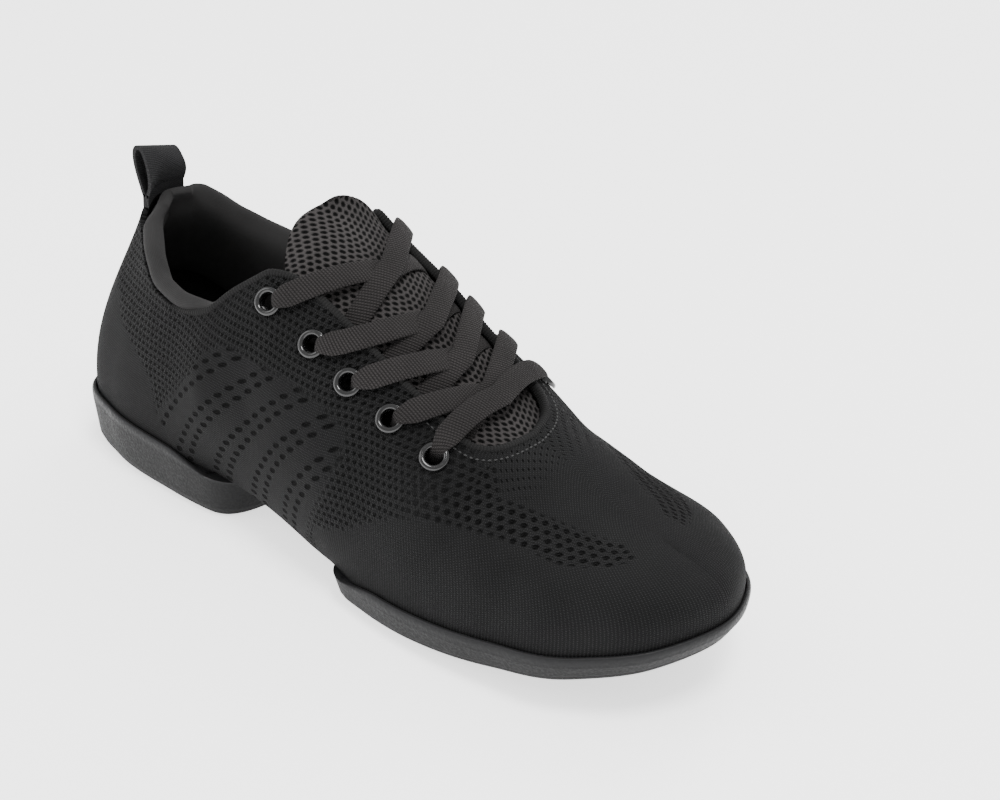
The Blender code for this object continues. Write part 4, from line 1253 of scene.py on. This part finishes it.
def makeTape(material):
    points, normals = tapePath()
    lengths = lengthsOf(points)
    even = np.arange(0, lengths[-1], tapeLook["rib"] / 4)
    path, normal = (soften(readAt(even, lengths, values), 17) for values in (points, normals))
    path = path - normal * wall * 0.5
    relief = tapeLook["relief"] * np.abs(np.sin(even / tapeLook["rib"] * math.pi))
    taper = blend(0, 14 * mm, even) * blend(0, 14 * mm, even[-1] - even)
    size = pair(tapeLook["width"] * (0.4 + 0.6 * taper), tapeLook["height"] * (0.5 + 0.5 * taper))
    size = size + relief[:, None] * 2
    grid = sweep(path, normal, ovalProfile(14)[None] * size[:, None])
    around = np.broadcast_to(np.linspace(0, 8, 15), grid.shape[:2])
    uvs = {"cloth": pair(around, even[:, None] / mm)}
    piece = gridPiece("edge_tape", grid, uvs, caps=True)
    return dress(piece, material, "black_knit")


seamLook = {"depth": 3.4 * mm, "pitch": 1.9 * mm, "length": 1.3 * mm, "thick": 0.6 * mm, "from": 0.62}


def makeSeam(material):
    # a row of small stitches outside the tape, round the throat's toe end
    places = roundThroat(0.1, 0, np.linspace(seamLook["from"], throatRound, 8))
    edge = edgeLine(np.array([wallLine(at, side, 1.0) for at, side in places]), 0.5 * mm)
    middle = ridgePoint(throatRound)
    points = []
    for spot, along in zip(edge, np.gradient(edge, axis=0)):
        flat = np.array([along[1], -along[0], 0.0])
        flat = unit(flat)
        flat = flat * np.sign(flat @ np.array([spot[0] - middle[0], spot[1] - middle[1], 0.0]))
        points.append(spot + flat * seamLook["depth"])
    shell = bpy.data.objects["knit_upper"]
    bpy.context.view_layer.update()
    seats = []
    for spot in points:
        above = Vector(spot + place) + Vector((0, 0, 0.03))
        found, where, normal = shell.ray_cast(above, Vector((0, 0, -1)))[:3]
        if found:
            seats.append((np.array(where) - place, np.array(normal)))
    path, facing = (np.array(column) for column in zip(*seats))
    lengths = lengthsOf(path)
    joined = bmesh.new()
    for middleAt in np.arange(seamLook["pitch"], lengths[-1], seamLook["pitch"]):
        spot = readAt(middleAt, lengths, path)
        normal = Vector(readAt(middleAt, lengths, facing)).normalized()
        ahead = Vector(readAt(middleAt + 0.5 * mm, lengths, path)) - Vector(spot)
        across = normal.cross(ahead.normalized()).normalized()
        turn = Matrix((across.cross(normal), across, normal)).transposed().to_4x4()
        turn.translation = Vector(spot + place) + normal * seamLook["thick"] * 0.15
        made = bmesh.ops.create_uvsphere(joined, u_segments=8, v_segments=6, radius=1.0)
        thin = seamLook["thick"] / 2
        scale = Matrix.Diagonal((seamLook["length"] / 2, thin, thin, 1.0))
        bmesh.ops.transform(joined, matrix=turn @ scale, verts=made["verts"])
    mesh = bpy.data.meshes.new("throat_stitches")
    joined.to_mesh(mesh)
    joined.free()
    mesh.shade_smooth()
    mesh.uv_layers.new(name="cloth")
    return dress(addObject("throat_stitches", mesh), material, "black_knit")


# Pull loop

strapLook = {"turns": 72, "rows": 17}


def makeStrap(material):
    base = wallLine(0.0, -1, 1.0)
    reach = (loopHeight - loopTail - strapThickness) / 2
    centre = loopTail + reach
    inner, outer = [], []
    for angle in np.linspace(0, 2 * math.pi, strapLook["turns"])[:-1] - math.pi / 2:
        narrow = 0.5 - 0.5 * math.sin(angle)
        width = loopOpening / 2 * (1 - 0.55 * narrow**2)
        point = np.array([width * math.cos(angle), centre + reach * math.sin(angle)])
        away = np.array([math.cos(angle) * reach, math.sin(angle) * width])
        inner.append(point)
        outer.append(point + unit(away) * strapThickness)
    # the two tails run down side by side, so the outer ring goes round them
    half = strapThickness
    outer = [(-half, 0.0), (half, 0.0), (half, loopTail), *outer[1:], (-half, loopTail)]
    inner = [inner[0]] * 3 + inner[1:] + [inner[0]]
    fine = np.linspace(0, 0.12, 60)
    rows = []
    for y in np.linspace(-loopWidth / 2, loopWidth / 2, strapLook["rows"]):
        side = -1 if y < 0 else 1
        edges = np.array([wallLine(at, side, 1.0) for at in fine])
        edge = readAt(abs(y), edges[:, 1] * side, edges)
        for ring in (outer, inner):
            line = []
            for forward, up in ring:
                hug = 1 - blend(0.3 * loopHeight, loopHeight, up)
                x = base[0] + (edge[0] - base[0]) * hug + strapThickness + forward
                z = base[2] + (edge[2] - base[2]) * hug + clearance + 0.1 * mm + up
                z -= (y + loopWidth / 2) * math.tan(math.radians(loopTilt)) * (1 - hug)
                line.append((x, y, z))
            rows.append(line)
    rows = np.array(rows)
    outerGrid, innerGrid = rows[0::2], rows[1::2]
    grid = np.concatenate([outerGrid, innerGrid[::-1], outerGrid[:1]])
    grid = np.concatenate([grid, grid[:, :1]], axis=1)
    around = lengthsAlong(np.concatenate([outerGrid, outerGrid[:, :1]], axis=1), 1) / mm
    across = np.linspace(0, loopWidth / mm, strapLook["rows"])
    uv = pair(np.broadcast_to(across[:, None], around.shape), around)
    uvs = {"cloth": np.concatenate([uv, uv[::-1], uv[:1]])}
    piece = gridPiece("twill_loop", grid, uvs, ring=True, angle=50.0)
    return dress(piece, material, "loop_webbing", "pull_loop")


# Eyelets and laces

ringLook = {"steps": 48, "lift": 0.5 * mm}


def makeRings(material):
    low, high = ringLook["lift"], ringLook["lift"] + eyeletHeight
    bend = np.linspace(0, math.pi, 13)
    middle, half = (eyeletRadius + eyeletHole) / 2, (eyeletRadius - eyeletHole) / 2
    brim = low * 0.4
    profile = [(middle - half * math.cos(a), brim + (high - brim) * math.sin(a) ** 0.8) for a in bend]
    profile += [(eyeletBarrel, low * 0.2), (eyeletBarrel, -wall - eyeletTail)]
    profile += [(eyeletHole + 0.15 * mm, -wall - eyeletTail), (eyeletHole, -wall)]
    angles = np.linspace(0, 2 * math.pi, ringLook["steps"] + 1)
    for side, name in sideNames.items():
        for row in range(len(eyeletTable[name])):
            spot, normal = eyeletPlace(row, side)[2:]
            first = np.cross(normal, (0, 0, 1.0))
            first = unit(first)
            second = np.cross(normal, first)
            outwards = [first * math.cos(a) + second * math.sin(a) for a in angles]
            rings = profile + profile[:1]
            grid = np.array([[spot + out * r + normal * z for out in outwards] for r, z in rings])
            piece = gridPiece(f"ring_{name}_{row + 1}", grid, {}, ring=True, angle=50.0)
            dress(piece, material, "eyelet_metal", f"eyelet_{name}_{row + 1}")


laceLook = {
    "width": 8.0 * mm,
    "thick": 1.35 * mm,
    "folded": 4.8 * mm,
    "spacing": 0.7 * mm,
    "crossing": 0.9 * mm,
    "under": -3.6 * mm,
    "overTape": 2.1 * mm,
    "overRing": 2.2 * mm,
    "dive": -4.5 * mm,
    "bow": 12.0 * mm,
    "skew": 0.7,
    "crown": 0.9 * mm,
    "sink": 0.11 * mm,
}


def laceRun(name, start, end, middle, startUnder, material, nodes):
    # from one eyelet's underside, out through the throat and over its far edge, down into the far eyelet
    look = laceLook
    first, last = (np.array(eyeletPlace(*eyelet)[:2]) for eyelet in (start, end))
    ts = np.linspace(0, 1, 81)
    bow = look["bow"] / soleLength * abs(start[0] - end[0]) * (1 - 0.065 * (start[0] - 1) ** 2)
    skew = look["skew"]

    def near(t):
        fromRing = t if start[1] < 0 else 1 - t
        shift = bow * math.sin(math.pi * min(fromRing, 1.0) ** skew)
        return first * (1 - t) + last * t + np.array([shift, 0.0])

    path = np.array([instepPoint(*near(t)) for t in ts])
    lengths = lengthsOf(path)
    whole = lengths[-1]
    edgeOut, edgeBack = whole - edgeInset(*end), edgeInset(*start)
    dive, under, overTape, overRing = (look[key] for key in ("dive", "under", "overTape", "overRing"))
    # the lace's height over the instep by its distance from an eyelet's middle
    overEyelet = [
        (0.0, dive),
        (eyeletHole * 0.45, dive * 0.25),
        (eyeletHole * 1.1, overRing * 0.75),
        ((eyeletRadius + 1.2 * mm) * 0.95, overRing)]
    if startUnder:
        keys = [(0.0, dive), (edgeBack * 0.6, under - 0.6 * mm), (edgeBack + 1.5 * mm, under)]
    else:
        keys = [*overEyelet, (edgeBack, overTape)]
    keys += [(whole * 0.5, middle), (edgeOut - 2.5 * mm, overTape * 0.9), (edgeOut, overTape)]
    keys = np.array(sorted(keys + [(whole - far, lift) for far, lift in overEyelet]))
    dense = np.linspace(0, whole, 400)
    level = through(keys[:, 0], keys[:, 1], dense)
    level = soften(level[:, None], 15)[:, 0]
    centres, ups = [], []
    for length, lift in zip(dense, level):
        spot = near(np.interp(length, lengths, ts))
        normal = instepNormal(*spot)
        centres.append(instepPoint(*spot) + normal * lift)
        ups.append(normal)
    centres, ups = np.array(centres), np.array(ups)
    travelled = lengthsOf(centres)
    even = np.arange(0, travelled[-1], look["spacing"])
    path, normal = readAt(even, travelled, centres), readAt(even, travelled, ups)
    flatLength = np.interp(even, travelled, dense)
    nearEnd = blend(eyeletHole * 0.6, eyeletHole + 5.5 * mm, whole - flatLength)
    nearStart = 1.0 if startUnder else blend(eyeletHole * 0.6, eyeletHole + 5.5 * mm, flatLength)
    # it folds together where it dives, and is thicker there
    width = look["folded"] + (look["width"] - look["folded"]) * np.minimum(nearEnd, nearStart)
    thick = look["thick"] * (1 + 0.35 * (look["width"] - width) / look["width"])
    heading = np.gradient(path, axis=0)
    heading = heading - normal * np.sum(heading * normal, axis=1, keepdims=True)
    across = np.cross(normal, heading)
    across = soften(across, 17)
    across = unit(across)
    upward = np.cross(np.gradient(path, axis=0), across)
    upward = unit(upward)
    profile = ovalProfile(22, 3.2)
    crown = (0.25 - profile[:, 0] ** 2) * look["crown"]
    grid = path[:, None] + across[:, None] * (profile[None, :, 0] * width[:, None])[..., None]
    rise = profile[None, :, 1] * thick[:, None] + crown[None] - look["sink"]
    grid = grid + upward[:, None] * rise[..., None]
    uv = pair(profile[None, :, 0] * look["width"] / mm * np.ones((len(even), 1)), even[:, None] / mm)
    piece = gridPiece(name, grid, {"cloth": uv}, caps=True)
    return dress(piece, material, "lace_weave", *nodes)


def makeLaces(material):
    last = len(eyeletTable["lateral"]) - 1
    laceRun("lace_bar_run", (last, -1), (last, 1), laceLook["overTape"], False, material, ["lace_bar"])
    for row in range(last):
        lateral, medial, level = f"lace_lateral_{row + 1}", f"lace_medial_{row + 1}", laceLook["crossing"]
        laceRun(lateral, (row + 1, 1), (row, -1), -level, True, material, [f"lace_cross_{row + 1}"])
        laceRun(medial, (row + 1, -1), (row, 1), level, True, material, [])


# Stage, light and camera

stageLook = {"floor": (0.95, 0.95, 0.95), "rough": 0.6, "world": 1.2, "glow": 1.5}
cameraLook = {
    "place": (324.65, -375.64, 321.6),
    "target": (25.85, 22.06, 53.2),
    "roll": 3.83,
    "lens": 62.56,
}


def makeStage():
    bpy.ops.mesh.primitive_plane_add(size=14.0, location=(0, 0, -0.0002))
    floor = bpy.context.active_object
    floor.name = "pale_floor"
    made, tree, shader = newFinish("paleFloor", {})
    grain = noise(objectPlace(tree), 300.0)
    connect(shader, shaded(stageLook["floor"], grain, 0.01), stageLook["rough"], grain, 0.02 * mm)
    shader.inputs["Emission Color"].default_value = (1.0, 1.0, 1.0, 1.0)
    shader.inputs["Emission Strength"].default_value = stageLook["glow"]
    floor.data.materials.append(made)
    world = bpy.data.worlds.new("paleStudio")
    world.use_nodes = True
    world.node_tree.nodes["Background"].inputs[0].default_value = (1.0, 1.0, 1.0, 1.0)
    world.node_tree.nodes["Background"].inputs[1].default_value = stageLook["world"]
    bpy.context.scene.world = world


# each light's place, size and power
lightLook = {
    "keySoftbox": ((0.5, -0.2, 1.8), 0.6, 34.0),
    "fillSoftbox": ((-1.2, -1.3, 1.1), 1.1, 14.0),
    "rimSoftbox": ((-0.3, 1.5, 1.3), 0.9, 16.0),
}


def makeLights():
    target = Vector((0.0, 0.0, 0.05))
    for name, (spot, size, power) in lightLook.items():
        light = bpy.data.lights.new(name, "AREA")
        light.size = size
        light.energy = power
        made = addObject(name, light)
        made.location = spot
        made.rotation_euler = (target - Vector(spot)).to_track_quat("-Z", "Y").to_euler()


def makeCamera():
    data = bpy.data.cameras.new("photoCamera")
    data.lens = cameraLook["lens"]
    data.sensor_width = 36.0
    data.clip_start = 0.01
    camera = addObject("photoCamera", data)
    spot, target = (Vector(cameraLook[key]) * mm for key in ("place", "target"))
    roll = Matrix.Rotation(math.radians(cameraLook["roll"]), 3, "Z").to_quaternion()
    turn = (target - spot).to_track_quat("-Z", "Y") @ roll
    camera.matrix_world = Matrix.Translation(spot) @ turn.to_matrix().to_4x4()
    bpy.context.scene.camera = camera


softSheen = {"Specular IOR Level": 0.08, "Sheen Weight": 0.02, "Sheen Roughness": 0.4}
# In each cloth's look, dark is a painted shade colour for its holes and grooves
jerseyLook = {
    "colour": (0.0250, 0.0244, 0.0244),
    "dark": (0.006, 0.006, 0.006),
    "rough": 0.92,
    "pitch": 0.7,
    "depth": 0.06 * mm,
    "grooveShade": 0.25,
    "Specular IOR Level": 0.06,
    "Sheen Weight": 0.04,
    "Sheen Roughness": 0.5,
}
tongueFinishLook = {
    "colour": (0.037, 0.0340, 0.0336),
    "dark": (0.0006, 0.0006, 0.0006),
    "rough": 0.85,
    "depth": 0.35 * mm,
    "holes": {"Pitch U": 2.5, "Pitch V": 2.3, "Radius": 0.84, "Soft": 0.30},
    **softSheen,
}
tapeFinishLook = {
    "colour": (0.014, 0.0138, 0.0138),
    "dark": (0.003, 0.003, 0.003),
    "rough": 0.85,
    "rib": 1.05,
    "thread": 0.5,
    "depth": 0.10 * mm,
    **softSheen,
}
laceFinishLook = {
    "colour": (0.031, 0.0285, 0.0282),
    "dark": (0.0030, 0.0027, 0.0027),
    "rough": 0.86,
    "rib": 1.0,
    "thread": 0.9,
    "lean": 0.35,
    "depth": 0.35 * mm,
    "grooveShade": 0.85,
    **softSheen,
}
strapFinishLook = {
    "colour": (0.017, 0.017, 0.018),
    "dark": (0.004, 0.004, 0.004),
    "rough": 0.75,
    "rib": 0.8,
    "thread": 0.8,
    "lean": 0.8,
    "depth": 0.18 * mm,
    "grooveShade": 0.6,
    **softSheen,
    "Specular IOR Level": 0.10,
}
insoleLook = {
    "colour": (0.008, 0.008, 0.0085),
    "dark": (0.003, 0.003, 0.003),
    "rough": 0.95,
    "pitch": 1.0,
    "depth": 0.08 * mm,
}
rubberLook = {
    "colour": (0.0080, 0.0080, 0.0083),
    "lip": (0.012, 0.012, 0.0125),
    "depth": 0.16 * mm,
    "waves": 420.0,
    "ribs": 1500.0,
    "Specular IOR Level": 0.14,
}
enamelLook = {
    "colour": (0.004, 0.004, 0.0042),
    "Coat Weight": 0.3,
    "Coat Roughness": 0.05,
    "Specular IOR Level": 0.4,
}
threadLook = {
    "colour": (0.030, 0.030, 0.030),
    "dark": (0.01, 0.01, 0.01),
    "rough": 0.8,
    "pitch": 0.4,
    "depth": 0.05 * mm,
}

makeCamera()
makeStage()
makeLights()
print("stage, lights and camera are in place")

makeUpper(knitFinish(knitLook))
rubber = rubberFinish(rubberLook)
makeSole("heel_unit", 0.0, heelUnitEnd, 0.0, 0.06, rubber, "heel_sole")
makeSole("forefoot_unit", forefootUnitStart, 1.0, 0.055, 0.0, rubber, "forefoot_sole")
makeRoll(clothFinish("collarJersey", jerseyLook))
makeTongue(clothFinish("tongueMesh", tongueFinishLook))
makeTape(clothFinish("edgeTape", tapeFinishLook))
makeSeam(clothFinish("seamThread", threadLook))
makeStrap(clothFinish("loopTwill", strapFinishLook))
makeRings(metalFinish(enamelLook))
makeLaces(clothFinish("laceWeave", laceFinishLook))
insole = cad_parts["insole"]
insole.data.materials.clear()
insole.data.materials.append(clothFinish("insoleCloth", insoleLook))
print("finishes are set")
